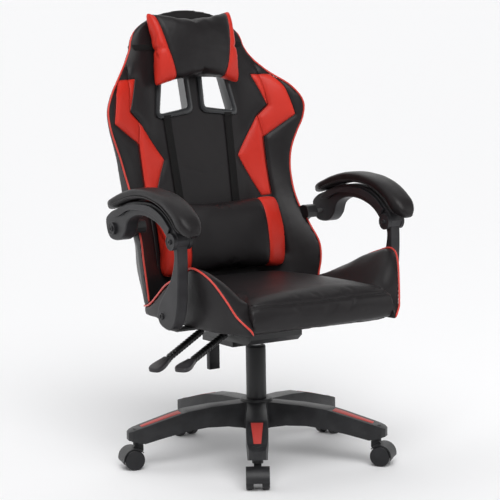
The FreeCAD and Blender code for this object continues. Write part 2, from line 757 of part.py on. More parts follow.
node("seat_bolster_left", bolster("seat_bolster_left", 1))
node("seat_bolster_right", bolster("seat_bolster_right", -1))


def seat_bracket(name):
    """The steel under the seat's +X side: the arm post's tab and the recline hinge's plate."""
    strip_bottom = "seat_bottom - bracket_steel"
    half_tab = "arm_tab_depth / 2"
    reach = ("plate_width / 2", "arm_tab_inner + bracket_steel")
    strip = block(f"{name}_strip", reach, (f"post_pivot_back - {half_tab}",
                                           f"post_pivot_back + {half_tab}"),
                  (strip_bottom, "seat_bottom"))
    tab = block(f"{name}_tab", ("arm_tab_inner", "arm_tab_inner + bracket_steel"),
                (f"post_pivot_back - {half_tab}", f"post_pivot_back + {half_tab}"),
                (strip_bottom, "post_pivot_up + 18"))
    foot = block(f"{name}_foot", ("plate_width / 2", "hinge_plate_inner + hinge_plate_steel"),
                 ("board_rear - 75", "board_rear - 15"), (strip_bottom, "seat_bottom"))
    cheek = pad(f"{name}_cheek", "YZ_Plane", [
        ("board_rear - 75", strip_bottom),
        ("board_rear", strip_bottom),
        (f"{HINGE[0]} + 16", f"{HINGE[1]} - 14"),
        (f"{HINGE[0]} + 18", f"{HINGE[1]} + 8"),
        (f"{HINGE[0]} - 6", f"{HINGE[1]} + 18"),
        ("board_rear - 60", "seat_bottom + 14"),
    ], "hinge_plate_inner", "hinge_plate_steel")
    rail = block(f"{name}_rail", ("plate_width / 2", "plate_width / 2 + 24"),
                 ("post_pivot_back", "board_rear - 15"),
                 (strip_bottom, "seat_bottom"))
    holes = [cylinder(f"{name}_post_hole", "arm_pin_radius + running_fit", "40", "arm_tab_inner - 10",
                      "post_pivot_back",
                      "post_pivot_up", "x"),
             cylinder(f"{name}_hinge_hole", "hinge_pin_radius + running_fit", "40",
                      "hinge_plate_inner - 10", *HINGE, "x")]
    return cut(name, fuse(f"{name}_solid", strip, tab, foot, cheek, rail), *holes)


def mirrored(name, thing):
    """The other hand of a part."""
    other = doc.addObject("Part::Mirroring", name)
    other.Source = thing
    other.Normal = Vector(1, 0, 0)
    return other


# The backrest hinge closes a parallelogram: rear pivot to hinge equals arm pivot to post pivot.
HINGE = ("(rear_pivot_back + post_pivot_back - arm_pivot_back)",
         "(rear_pivot_up + post_pivot_up - arm_pivot_up)")
left_bracket = seat_bracket("seat_bracket_left")
node("seat_bracket_left", left_bracket)
node("seat_bracket_right", mirrored("seat_bracket_right", left_bracket))

# ---------------------------------------------------------------------------------------------
# Backrest, drawn upright in its own frame
# ---------------------------------------------------------------------------------------------
def back_stations():
    """Cross-sections of the bucket-shaped back: flat middle, wings forward, closed rear."""
    stations = []
    for i in range(len(BACK_STATIONS)):
        half = f"(back_half_{i} * shoulder_width)"
        wing = f"(back_wing_{i} * wing_reach)"
        side = f"(back_side_{i} * back_thickness)"
        right = [
            (f"0.55 * {half}", "0"),
            (f"{half} - wing_lip", f"-{wing}"),
            (half, f"-{wing} + wing_lip"),
            (f"{half} - 2", side),
            (f"0.72 * {half}", f"back_deep_{i} * back_thickness"),
        ]
        left = [(f"-({x})", y) for x, y in reversed(right)]
        stations.append((f"back_up_{i} * back_length", right + left))
    return stations


def frame_tubes(name, radius):
    """The welded tube frame inside the back, or its channel when the radius is larger."""
    uprights = [("frame_half", "0.03 * back_length"), ("frame_half", "back_length - frame_shoulder_drop"),
                ("frame_head_half", "back_length - frame_head_drop")]
    spots = [(f"{side} * ({x})", "frame_deep", z) for side in (-1, 1) for x, z in uprights]
    left, right = spots[:3], spots[3:]
    runs = [(left[0], left[1]), (left[1], left[2]), (left[2], right[2]), (right[2], right[1]),
            (right[1], right[0])]
    for up in ("0.05 * back_length", "0.36 * back_length"):
        runs.append((("-frame_half", "frame_deep", up), ("frame_half", "frame_deep", up)))
    tubes = [between(f"{name}_run_{i}", radius, *run) for i, run in enumerate(runs)]
    balls = [ball(f"{name}_ball_{i}", radius, spot) for i, spot in enumerate(spots)]
    return fuse(name, *tubes, *balls)


OPENING_LOW = "back_length - opening_below_top"
HEAD_DEPTH = "back_deep_8 * back_thickness"


def opening_outline(grow):
    """One head opening's four corners, grown outwards."""
    high = f"{OPENING_LOW} + opening_height + ({grow})"
    return [
        (f"opening_inner - ({grow})", f"{OPENING_LOW} + opening_slope / 2 - ({grow})"),
        (f"opening_outer_low + ({grow})", f"{OPENING_LOW} - opening_slope / 2 - ({grow})"),
        (f"opening_outer_high + ({grow})", high),
        (f"opening_inner + 3 - ({grow})", high),
    ]


def through_back(name, grow, start, length):
    """An opening's outline padded through the back, for both sides."""
    both = []
    for side in (1, -1):
        points = [(f"{side} * ({x})", z) for x, z in opening_outline(grow)]
        both.append(pad(f"{name}_{'left' if side > 0 else 'right'}", "XZ_Plane", points,
                        f"-({start}) - ({length})", length))
    return both


hull = lofted("back_hull", "XY_Plane", back_stations())
channel = frame_tubes("back_channel", "frame_radius + frame_gap")
openings = through_back("liner_room", "ring_wall", "-40", "back_thickness + 80")
back_node("back_pad", cut("back_upholstery", hull, channel, *openings))
back_node("back_frame", frame_tubes("back_tubes", "frame_radius"))

liners = through_back("liner", "ring_wall", "0", f"{HEAD_DEPTH} + 2")
faces = through_back("flange", "ring_flange", "-ring_flange_proud", "ring_flange_proud")
holes = through_back("opening", "0", "-40", "back_thickness + 80")
rings = [cut(f"ring_{i}", fuse(f"ring_solid_{i}", liners[i], faces[i]), holes[i]) for i in range(2)]
back_node("opening_rings", *rings)

STRAP_TOP = f"{OPENING_LOW} - ring_flange - opening_slope / 2 - 3"
straps = [pad(f"strap_{i}", "XZ_Plane", [
    (f"{side} * (strap_foot_centre - strap_width / 2)", "strap_foot_up"),
    (f"{side} * (strap_foot_centre + strap_width / 2)", "strap_foot_up"),
    (f"{side} * (strap_top_centre + strap_width / 2)", STRAP_TOP),
    (f"{side} * (strap_top_centre - strap_width / 2)", STRAP_TOP),
], "0", "strap_thickness") for i, side in enumerate((1, -1))]
back_node("lumbar_straps", *straps)


def pillow(name, width, height, near, depth, centre, sides):
    """A plain cushion: outlines of shrinking width and height stacked forwards from the back."""
    stations = []
    for share, wide, tall in sides:
        x, z = f"{width} * {wide / 2}", f"{height} * {tall / 2}"
        stations.append((f"{near} + {depth} * {share}", [
            (f"-{x}", f"{centre} - {z}"), (x, f"{centre} - {z}"), (x, f"{centre} + {z}"),
            (f"-{x}", f"{centre} + {z}")]))
    return lofted(name, "XZ_Plane", stations)


head_pillow = pillow("head_cushion", "head_pillow_width", "head_pillow_height", "ring_flange_proud",
                     "head_pillow_depth",
                     "back_length - head_pillow_drop",
                     ((0, 0.86, 0.84), (0.3, 0.98, 0.98), (0.6, 1, 1), (1, 0.84, 0.8)))
back_node("head_pillow", head_pillow)
back_node("lumbar_pillow", pillow("lumbar_cushion", "lumbar_width", "lumbar_height",
                                  "strap_thickness + soft_gap",
                                  "lumbar_depth", "lumbar_up",
                                  ((0, 0.7, 0.92), (0.54, 1, 1), (0.85, 0.97, 0.98), (1, 0.88, 0.88))))


BAND_LOW = "back_length - head_band_drop"
BAND_TAPER = "(back_half_11 - back_half_12) * shoulder_width / ((back_up_12 - back_up_11) * back_length)"


def band_outline(rise, grow):
    """The elastic band's loop round the head of the back, at a rise above its lower edge."""
    half = f"(back_half_11 * shoulder_width - ({BAND_LOW} + {rise} - back_up_11 * back_length) * {BAND_TAPER})"
    wide = f"({half} + 2 + {grow})"
    right = [
        ("0.4 * head_pillow_width", f"-ring_flange_proud - 0.30 * head_pillow_depth - ({grow})"),
        (wide, f"4 - ({grow})"),
        (wide, f"0.2 * back_thickness + ({grow})"),
        (f"0.78 * {wide}", f"{HEAD_DEPTH} + 2 + ({grow})"),
    ]
    return right + [(f"-({x})", y) for x, y in reversed(right)]


def band_loop(name, low, high, grow):
    """A tapered block of the band's outline between two rises."""
    return lofted(name, "XY_Plane", [(f"{BAND_LOW} + {rise}",
                                      band_outline(rise, grow)) for rise in (low, high)])


loop = band_loop("band_outer", "0", "head_band_width", "head_band_thickness")
inside = band_loop("band_inner", "-10", "(head_band_width + 10)", "0")
back_node("head_strap", cut("head_band", loop, inside, head_pillow, hull))

# Hinge plates outside the back's foot, which carry it on the seat's brackets
PLATE_INNER = "hinge_plate_inner + hinge_plate_steel + hinge_plate_gap"
side_plate = pad("side_plate", "YZ_Plane", [
    (f"{HINGE[0]} - 14", f"{HINGE[1]} - 14"),
    (f"{HINGE[0]} + 14", f"{HINGE[1]} - 14"),
    (f"{HINGE[0]} + 24", f"{HINGE[1]} + 20"),
    ("rear_pivot_back + 60", "rear_pivot_up - 90"),
    ("rear_pivot_back + 16", "rear_pivot_up + 6"),
    ("rear_pivot_back + 2", "rear_pivot_up + 15"),
    ("rear_pivot_back - 13", "rear_pivot_up + 6"),
    ("rear_pivot_back - 13", "rear_pivot_up - 10"),
    ("rear_pivot_back + 26", "rear_pivot_up - 92"),
], PLATE_INNER, "hinge_plate_steel")
rear_slack = cylinder("rear_slack", "rear_pin_radius + open_pivot_gap", "40", f"{PLATE_INNER} - 10",
                      "rear_pivot_back", "rear_pivot_up", "x")
stud = cylinder("recline_stud", "hinge_pin_radius", "hinge_plate_steel * 2 + hinge_plate_gap + 1.5",
                "hinge_plate_inner - 1", *HINGE, "x")
left_plate = fuse("back_plate_left", cut("back_plate_drilled", side_plate, rear_slack), stud)
node("back_hinge_plates", group("back_hinge_plates", left_plate, mirrored("back_plate_right", left_plate)))

# ---------------------------------------------------------------------------------------------
# Arms: post, padded link and their pins, drawn on +X and mirrored
# ---------------------------------------------------------------------------------------------
BARREL_WIDTH = "link_width - 2 * cheek_thickness - 2 * cheek_gap"


def arm_post():
    """The boomerang post from its foot on the seat to the barrel inside the link's cheeks."""
    post = pad("post_blade", "YZ_Plane", [
        ("post_pivot_back - 30", "post_pivot_up - 27"),
        ("post_pivot_back + 20", "post_pivot_up - 27"),
        ("post_pivot_back + 24", "post_pivot_up - 8"),
        ("post_pivot_back + 6", "post_pivot_up + 40"),
        ("arm_pivot_back + 34", "arm_pivot_up - 60"),
        ("arm_pivot_back + 18", "arm_pivot_up - 4"),
        ("arm_pivot_back - 18", "arm_pivot_up - 4"),
        ("arm_pivot_back - 6", "arm_pivot_up - 60"),
        ("post_pivot_back - 30", "post_pivot_up + 40"),
        ("post_pivot_back - 34", "post_pivot_up - 6"),
    ], "arm_centre - post_thickness / 2", "post_thickness")
    barrel = cylinder("barrel", "barrel_radius", BARREL_WIDTH, f"arm_centre - ({BARREL_WIDTH}) / 2",
                      "arm_pivot_back", "arm_pivot_up", "x")
    bores = [cylinder("barrel_bore", "arm_pin_radius + running_fit", "80", "arm_centre - 40",
                      "arm_pivot_back", "arm_pivot_up", "x"),
             cylinder("foot_bore", "arm_pin_radius", "80", "arm_centre - 40", "post_pivot_back",
                      "post_pivot_up", "x")]
    return cut("arm_post", fuse("post_solid", post, barrel), *bores)


# The arm's arch, from front to rear, as (back, up) from the arm pivot
PAD_TOP = [(-74, 24), (-68, 41), (-35, 70), (20, 98), (80, 110), (150, 112), (215, 100), (275, 79),
           (316, 63)]
PAD_BOTTOM = [(300, 46), (262, 60), (205, 78), (145, 88), (85, 86), (30, 72), (-10, 46), (-36, 16),
              (-48, 12)]
LINK_BOTTOM = [(-16, 20), (-24, 6), (-24, -10), (-14, -22), (14, -22), (24, -10), (40, 20), (85, 46),
               (150, 52),
               (205, 40), (222, -2), (250, -18), (292, -22), (314, 0), (318, 30)]


def from_pivot(points):
    """Points given from the arm pivot, as expressions."""
    return [(f"arm_pivot_back + {back}", f"arm_pivot_up + {up}") for back, up in points]


def arm_link():
    """The arched link: cheeks round the barrel in front, a broad bolted end behind."""
    body = pad("link_body", "YZ_Plane", from_pivot(LINK_BOTTOM + PAD_BOTTOM[:-2]),
               "arm_centre - link_width / 2", "link_width")
    slot_width = f"({BARREL_WIDTH}) + 2 * cheek_gap"
    slot = cylinder("barrel_slot", "barrel_radius + 2", slot_width, f"arm_centre - ({slot_width}) / 2",
                    "arm_pivot_back", "arm_pivot_up", "x")
    sweep = pad("post_sweep", "YZ_Plane", from_pivot([(-40, -40), (60, -40), (78, 34), (20, 12), (-40, 4)]),
                f"arm_centre - ({slot_width}) / 2", slot_width)
    holes = [cylinder("link_front_hole", "arm_pin_radius", "80", "arm_centre - 40", "arm_pivot_back",
                      "arm_pivot_up", "x"),
             cylinder("link_rear_hole", "rear_pin_radius", "80", "arm_centre - 40", "rear_pivot_back",
                      "rear_pivot_up", "x")]
    return cut("arm_link", body, slot, sweep, *holes)


def arm_pins():
    """The pivot pin in the barrel and the shoulder bolt into the back's plate."""
    front = cylinder("arm_pin", "arm_pin_radius", "link_width + 3", "arm_centre - link_width / 2",
                     "arm_pivot_back", "arm_pivot_up", "x")
    rear = cylinder("rear_pin", "rear_pin_radius", f"arm_centre + link_width / 2 + 3 - ({PLATE_INNER})",
                    PLATE_INNER,
                    "rear_pivot_back", "rear_pivot_up", "x")
    return group("arm_pins", front, rear)


arm_pad = pad("arm_pad", "YZ_Plane", from_pivot(PAD_TOP + PAD_BOTTOM), "arm_centre - pad_width / 2",
              "pad_width")
post_pin = cylinder("post_pin", "arm_pin_radius",
                    "arm_centre + post_thickness / 2 + 2 - arm_tab_inner + 2", "arm_tab_inner - 2",
                    "post_pivot_back", "post_pivot_up", "x")
for name, thing in (("post", arm_post()), ("post_pin", post_pin), ("link", arm_link()), ("pad", arm_pad),
                    ("pins", arm_pins())):
    node(f"left_{name}", group(f"left_{name}", thing))
    node(f"right_{name}", mirrored(f"right_{name}", thing))

# ---------------------------------------------------------------------------------------------
# Check and write
# ---------------------------------------------------------------------------------------------
doc.recompute()
faults = [thing.Name for thing in doc.Objects if "Invalid" in thing.State or "Error" in thing.State]
for thing in NODES:
    shape = thing.Shape
    if shape.isNull() or not shape.isValid() or not shape.Solids or shape.Volume <= 0:
        faults.append(thing.Label)
if faults:
    raise RuntimeError(f"not built: {faults}")
os.makedirs("parts", exist_ok=True)
for thing in NODES:
    thing.Shape.exportStep(os.path.join("parts", f"{thing.Label}.step"))
print(len(NODES), "sub-parts")
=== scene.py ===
"""Upholstery, pillows, trim and finishes of a racing-style gaming chair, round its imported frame.

Metres, +Z up, +X is the sitter's left and the chair faces -Y.  The backrest's pieces are drawn
upright in the backrest's own frame (x across, y to its rear, z up from its foot) and then leaned.
"""
import bpy
import bmesh
import json
import math
import numpy as np
from mathutils import Matrix, Vector

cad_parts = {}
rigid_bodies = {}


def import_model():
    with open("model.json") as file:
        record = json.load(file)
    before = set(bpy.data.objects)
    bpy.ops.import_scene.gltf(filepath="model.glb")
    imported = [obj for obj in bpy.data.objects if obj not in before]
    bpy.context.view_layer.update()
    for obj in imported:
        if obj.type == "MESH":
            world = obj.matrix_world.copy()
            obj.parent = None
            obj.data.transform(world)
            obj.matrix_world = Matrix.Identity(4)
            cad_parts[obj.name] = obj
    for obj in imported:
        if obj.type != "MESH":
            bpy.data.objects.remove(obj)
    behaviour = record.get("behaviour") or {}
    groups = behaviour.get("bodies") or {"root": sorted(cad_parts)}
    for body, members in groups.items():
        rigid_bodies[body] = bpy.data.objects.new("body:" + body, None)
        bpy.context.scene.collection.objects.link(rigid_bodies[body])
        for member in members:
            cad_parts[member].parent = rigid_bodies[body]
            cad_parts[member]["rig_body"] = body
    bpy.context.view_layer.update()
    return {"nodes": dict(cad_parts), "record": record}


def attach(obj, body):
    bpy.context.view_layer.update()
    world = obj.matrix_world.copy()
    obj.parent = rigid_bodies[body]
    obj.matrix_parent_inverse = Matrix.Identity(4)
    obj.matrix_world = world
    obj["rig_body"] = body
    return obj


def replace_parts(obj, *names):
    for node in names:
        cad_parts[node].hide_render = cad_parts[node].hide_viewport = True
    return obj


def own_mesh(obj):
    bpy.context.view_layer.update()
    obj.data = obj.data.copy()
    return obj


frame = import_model()
bpy.ops.object.select_all(action="DESELECT")
MM = 0.001
NODES = frame["nodes"]

# ---------------------------------------------------------------------------------------------
# Sizes, in millimetres as on the frame's drawings
# ---------------------------------------------------------------------------------------------
LEAN = math.radians(12)
BACK_FOOT = (0, 170, 420)
BACK_LENGTH = 706
# Backrest edge: height, half width, how far the edge stands forward, depth of the side behind the edge
BACK_EDGE = [
    (-34, 253, 78, 27), (-6, 256, 84, 27), (32, 262, 94, 27), (73, 263, 95, 27), (117, 254, 80, 31),
    (145, 249, 68, 42), (162, 245, 60, 52), (185, 243, 51, 67), (206, 242, 44, 62), (249, 243, 35, 45),
    (291, 248, 30, 34), (332, 257, 33, 24), (370, 272, 43, 16), (408, 288, 58, 12), (447, 291, 64, 11),
    (491, 267, 52, 12), (539, 221, 17, 12), (585, 184, -2, 12), (625, 163, -4, 12), (660, 141, -4, 12),
]
BACK_DEPTH = [(-26, 58), (0, 62), (370, 62), (408, 58), (447, 50), (600, 48), (660, 44), (706, 26)]
DOME_START, DOME_HALF, DOME_BOW, DOME_FALL = 600, 170, 2.3, 0.52
FLAT_HALF = 125
WING_BOW = 1.4
# One zigzag panel on the wing: (across, up), going round
ZIGZAG = [(172, 532), (230, 530), (250, 490), (268, 415), (185, 366), (184, 215), (160, 213), (111, 325),
          (174, 422), (203, 447)]
WING_SEAM = [(190, 560), (203, 447), (174, 422), (185, 366), (184, 215), (190, 60)]
CHEVRON = [(69, 306), (0, 281)]
# Belt openings: (across, up) corners of the hole
OPENING = [(25, 454), (110, 441), (83, 572), (29, 572)]
PIPING = 2.4
SEAT_BOTTOM = 368.5
CUSHION_HALF = 188
# Side bolster: distance back, outer half width at the foot and at the ridge, height of the ridge
BOLSTER = [
    (-306, 204, 207, 380), (-299, 210, 218, 393), (-284, 217, 231, 411), (-261, 227, 248, 451),
    (-234, 238, 266, 491),
    (-205, 245, 280, 514), (-177, 249, 285, 521), (-137, 251, 282, 511), (-100, 252, 277, 498),
    (-64, 252, 272, 480),
    (-20, 251, 268, 461), (30, 248, 260, 432), (66, 246, 254, 411), (98, 243, 248, 397),
    (130, 238, 240, 390),
    (158, 222, 222, 386),
]
ARM_X = 308
ARM_PIVOT = (-155, 585)
REAR_PIVOT = (125, 590)
POST_PIVOT = (-93, 402)
# Arm pad: (back, up) of its top and of its underside from the arm pivot, front to rear
PAD_TOP = [(-74, 20), (-71, 34), (-58, 52), (-35, 71), (20, 99), (80, 111), (150, 113), (215, 101),
           (275, 80), (308, 66),
           (317, 57)]
PAD_FOOT = [(-60, 9), (-50, 12), (-36, 18), (-10, 44), (30, 70), (80, 86), (147, 89), (206, 79), (262, 61),
            (296, 48),
            (306, 44)]
PAD_HALF = 31
POST_HALF, LINK_HALF = 14, 17
PADDLE_LENGTH = 62
CAMERA_TURN, CAMERA_RISE, CAMERA_ROLL = math.radians(-32.97), math.radians(7.55), math.radians(0.902)
CAMERA_AWAY, CAMERA_LENS, CAMERA_SENSOR = 4.8013, 139.95, 36
CAMERA_SHIFT, CAMERA_HEIGHT = -0.0103, 0.5226


BACK_PLACE = Matrix.Translation(Vector(BACK_FOOT) * MM) @ Matrix.Rotation(-LEAN, 4, "X")


# ---------------------------------------------------------------------------------------------
# Shader building
# ---------------------------------------------------------------------------------------------
class Value:
    """A shader socket that takes part in arithmetic."""

    def __init__(self, finish, socket):
        self.finish, self.socket = finish, socket

    def math(self, operation, *others):
        return self.finish.node("Math", dict(enumerate((self, *others))), operation=operation)

    def __add__(self, other):
        return self.math("ADD", other)

    def __sub__(self, other):
        return self.math("SUBTRACT", other)

    def __mul__(self, other):
        return self.math("MULTIPLY", other)

    def __rsub__(self, other):
        return self.finish.node("Math", {0: other, 1: self}, operation="SUBTRACT")

    def __abs__(self):
        return self.math("ABSOLUTE")

    __radd__, __rmul__ = __add__, __mul__

    def step(self, low, high):
        """0 below low, 1 above high, smooth between."""
        return self.finish.node("MapRange", {"Value": self, "From Min": low, "From Max": high},
                                interpolation_type="SMOOTHSTEP")


class Finish:
    """A material and the few ways in which its nodes are made."""

    def __init__(self, name, slot):
        self.material = bpy.data.materials.new(name)
        self.material.use_nodes = True
        self.tree = self.material.node_tree
        self.shader = self.tree.nodes["Principled BSDF"]
        self.slot = slot
        self.spot = self.node("TexCoord", out="Object")

    def node(self, kind, values=None, out=0, **settings):
        made = self.tree.nodes.new("ShaderNode" + kind)
        for name, setting in settings.items():
            setattr(made, name, setting)
        for name, item in (values or {}).items():
            if isinstance(item, Value):
                self.tree.links.new(item.socket, made.inputs[name])
            else:
                made.inputs[name].default_value = item
        return Value(self, made.outputs[out])

    def attribute(self, name):
        return self.node("Attribute", out="Fac", attribute_name=name)

    def noise(self, scale, detail=2.0, spot=None, distortion=0.0):
        return self.node("TexNoise", {"Vector": spot or self.spot, "Scale": scale, "Detail": detail,
                                      "Distortion": distortion})

    def cells(self, scale, feature="DISTANCE_TO_EDGE", spot=None):
        return self.node("TexVoronoi", {"Vector": spot or self.spot, "Scale": scale}, feature=feature,
                         out="Distance")

    def stretched(self, x, y, z):
        """The object's coordinates, scaled along each axis."""
        return self.node("Mapping", {"Vector": self.spot, "Scale": (x, y, z)})

    def blend(self, share, first, second):
        """A colour between two, which may be plain colours or links."""
        first, second = [c if isinstance(c, Value) else (*c, 1) for c in (first, second)]
        return self.node("Mix", {0: share, 6: first, 7: second}, out=2, data_type="RGBA")

    def bump(self, height, distance, under=None, strength=1.0):
        values = {"Strength": strength, "Distance": distance, "Height": height}
        if under is not None:
            values["Normal"] = under
        return self.node("Bump", values, out="Normal")

    def set(self, **sockets):
        """Sets or links the shader's sockets, each named with _ for a space."""
        for name, item in sockets.items():
            socket = self.shader.inputs[name.replace("_", " ")]
            if isinstance(item, Value):
                self.tree.links.new(item.socket, socket)
            else:
                socket.default_value = (*item, 1) if isinstance(item, tuple) and len(item) == 3 else item
        return self


BLACK_HIDE = (0.0125, 0.0108, 0.0117)
RED_HIDE = (0.60, 0.026, 0.014)
RED_PIPING = (0.72, 0.060, 0.040)


def hide_relief(finish, seams):
    """Pebbled grain, soft creases and sewn seams of synthetic leather, as a normal."""
    pebbles = finish.cells(620).step(0.0, 0.34)
    pores = finish.noise(2300, 2.0)
    creases = finish.noise(38, 3.0, distortion=1.2)
    relief = finish.bump(creases, 0.002, strength=0.1)
    relief = finish.bump(pebbles + pores * 0.5, 0.00014, relief, strength=0.4)
    for name in seams:
        off = abs(finish.attribute(name))
        relief = finish.bump(off.step(0.0, 0.0028), 0.0022, relief)
    return relief


def hide_finish(finish, colour, seams=()):
    """Gloss and colour drift shared by the leathers."""
    drift = finish.noise(7, 3.0)
    wear = finish.noise(70, 4.0)
    shade = colour
    if not isinstance(colour, Value):
        worn = finish.blend(wear, (0.016, 0.0142, 0.0152), (0.0095, 0.0085, 0.009))
        shade = finish.blend(drift.step(0.35, 0.7) * 0.35, colour, worn)
    finish.set(Base_Color=shade, Roughness=0.38 + wear * 0.08, Normal=hide_relief(finish, seams))
    finish.set(Specular_IOR_Level=0.27, Coat_Roughness=0.4, Coat_Weight=0.03)
    return finish


def black_leather():
    return hide_finish(Finish("black_leather", "leather_black"), BLACK_HIDE)


def seamed_leather():
    """Black leather with a seam along the attribute "seam"."""
    return hide_finish(Finish("black_leather_seamed", "leather_black"), BLACK_HIDE, ["seam"])


def panelled_leather():
    """Black leather with red panels where the attribute "panel" is above zero."""
    finish = Finish("panelled_leather", "leather_black")
    red = finish.attribute("panel").step(-0.0004, 0.0004)
    drift = finish.noise(7, 3.0).step(0.3, 0.75)
    black = finish.blend(drift, BLACK_HIDE, (0.0145, 0.0128, 0.0137))
    bright = finish.blend(drift, RED_HIDE, (0.64, 0.034, 0.020))
    return hide_finish(finish, finish.blend(red, black, bright), ["panel", "seam"])


def red_piping():
    finish = Finish("red_piping", "leather_red")
    worn = finish.noise(45, 3.0)
    finish.set(Base_Color=finish.blend(worn, RED_PIPING, (0.60, 0.040, 0.028)),
               Roughness=0.32 + worn * 0.12)
    return finish.set(Normal=finish.bump(finish.cells(900), 0.0002), Coat_Weight=0.15, Coat_Roughness=0.3)


def moulded(name, slot, colour, roughness, grain, depth, coat=0.0):
    """Moulded plastic with a fine spark texture."""
    finish = Finish(name, slot)
    spark = finish.noise(grain, 3.0)
    handled = finish.noise(26, 4.0)
    lifted = tuple(c * 1.5 + 0.004 for c in colour)
    finish.set(Base_Color=finish.blend(handled.step(0.35, 0.75), colour, lifted))
    finish.set(Roughness=roughness - 0.05 + handled * 0.12, Normal=finish.bump(spark, depth))
    return finish.set(Coat_Weight=coat, Coat_Roughness=0.2, Specular_IOR_Level=0.35)


def powder_coat():
    finish = Finish("powder_coat", "steel_black")
    orange_peel = finish.noise(520, 2.0)
    dust = finish.noise(30, 4.0)
    finish.set(Base_Color=finish.blend(dust, (0.011, 0.011, 0.012), (0.018, 0.018, 0.019)))
    return finish.set(Roughness=0.36 + dust * 0.14, Normal=finish.bump(orange_peel, 0.00025))


def zinc():
    finish = Finish("zinc", "steel_bright")
    brushed = finish.noise(90, 3.0, finish.stretched(1, 1, 14))
    finish.set(Base_Color=finish.blend(brushed, (0.50, 0.50, 0.51), (0.66, 0.66, 0.67)), Metallic=1.0)
    return finish.set(Roughness=0.26 + brushed * 0.14, Normal=finish.bump(brushed, 0.0001))


def red_insert():
    """Hatched red inlay of the base's legs."""
    finish = Finish("red_insert", "insert_red")
    hatch = finish.node("TexWave", {"Vector": finish.spot, "Scale": 95.0, "Distortion": 0.0},
                        wave_type="RINGS", rings_direction="Z")
    finish.set(Base_Color=finish.blend(hatch, (0.42, 0.022, 0.018), (0.66, 0.055, 0.04)))
    return finish.set(Roughness=0.42 + hatch * 0.1, Normal=finish.bump(hatch, 0.0006))


def rubber():
    finish = Finish("rubber", "rubber_black")
    bloom = finish.noise(120, 3.0)
    finish.set(Base_Color=finish.blend(bloom, (0.010, 0.010, 0.010), (0.017, 0.017, 0.018)))
    return finish.set(Roughness=0.24 + bloom * 0.1, Normal=finish.bump(finish.noise(900), 0.00015))


def webbing():
    finish = Finish("webbing", "webbing_black")
    rib = finish.node("TexWave", {"Vector": finish.spot, "Scale": 210.0}, bands_direction="X")
    pick = finish.node("TexWave", {"Vector": finish.spot, "Scale": 330.0}, bands_direction="Z")
    weave = rib * 0.6 + pick * 0.4
    finish.set(Base_Color=finish.blend(weave, (0.005, 0.005, 0.005), (0.014, 0.0135, 0.014)))
    return finish.set(Roughness=0.8 + weave * 0.1, Normal=finish.bump(weave, 0.0005),
                      Specular_IOR_Level=0.25)


def board_cloth():
    """Black cloth stapled round the seat's board."""
    finish = Finish("board_cloth", "board")
    weave = finish.noise(900, 2.0)
    return finish.set(Base_Color=finish.blend(weave, (0.010, 0.010, 0.010), (0.022, 0.021, 0.022)),
                      Roughness=0.9,
                      Normal=finish.bump(weave, 0.0003))


HIDE = black_leather()
SEAMED = seamed_leather()
PANELLED = panelled_leather()
RED_WELT = red_piping()
GLOSS = moulded("ring_plastic", "plastic_black", (0.022, 0.023, 0.025), 0.30, 500, 0.0001, coat=0.2)
LEVER = moulded("lever_plastic", "plastic_black", (0.028, 0.026, 0.029), 0.30, 700, 0.0002)
BY_SLOT = {
    "nylon_black": moulded("nylon", "nylon_black", (0.015, 0.015, 0.0165), 0.42, 900, 0.00025),
    "insert_red": red_insert(),
    "steel_black": powder_coat(),
    "steel_bright": zinc(),
    "wheel_black": moulded("wheel_nylon", "wheel_black", (0.011, 0.011, 0.0125), 0.30, 600, 0.0001),
    "plastic_black": moulded("satin_plastic", "plastic_black", (0.017, 0.0165, 0.0185), 0.40, 800, 0.00025),
    "rubber_black": rubber(),
    "leather_black": HIDE,
    "leather_red": RED_WELT,
    "webbing_black": webbing(),
    "board": board_cloth(),
}
NODE_SLOT = {part["node"]: part["material_slot"] for part in frame["record"]["subparts"]}


# ---------------------------------------------------------------------------------------------
# Mesh helpers
# ---------------------------------------------------------------------------------------------
def wear_finish(obj, finish):
    obj.data.materials.clear()
    obj.data.materials.append(finish.material)
    return obj


def solid(name, points, faces, finish):
    """A mesh object from points in millimetres, its faces turned outwards."""
    mesh = bpy.data.meshes.new(name)
    mesh.from_pydata((np.asarray(points, float) * MM).tolist(), [], faces)
    built = bmesh.new()
    built.from_mesh(mesh)
    bmesh.ops.remove_doubles(built, verts=built.verts, dist=1e-6)
    bmesh.ops.recalc_face_normals(built, faces=built.faces)
    built.to_mesh(mesh)
    built.free()
    mesh.shade_smooth()
    obj = bpy.data.objects.new(name, mesh)
    bpy.context.scene.collection.objects.link(obj)
    return wear_finish(obj, finish)


def stacked(name, loops, finish, closed=False):
    """Closed loops of equal length, skinned one to the next; the ends are capped unless they meet."""
    count, size = len(loops), len(loops[0])
    points = [point for loop in loops for point in loop]
    faces = []
    for i in range(count if closed else count - 1):
        for j in range(size):
            a, b = i * size, (i + 1) % count * size
            faces.append((a + j, a + (j + 1) % size, b + (j + 1) % size, b + j))
    if not closed:
        faces += [tuple(range(size)), tuple(range((count - 1) * size, count * size))]
    return solid(name, points, faces, finish)


def frames_along(path, closed=False):
    """Points of a path with two steady side directions at each."""
    path = np.asarray(path, float)
    ahead = np.roll(path, -1, 0) - np.roll(path, 1, 0)
    if not closed:
        ahead[0], ahead[-1] = path[1] - path[0], path[-1] - path[-2]
    ahead /= np.linalg.norm(ahead, axis=1)[:, None]
    side = np.cross(ahead[0], (0.31, 0.17, 0.93))
    rows = []
    for point, way in zip(path, ahead):
        side = side - way * side.dot(way)
        side /= np.linalg.norm(side)
        rows.append((point, side, np.cross(way, side)))
    return rows


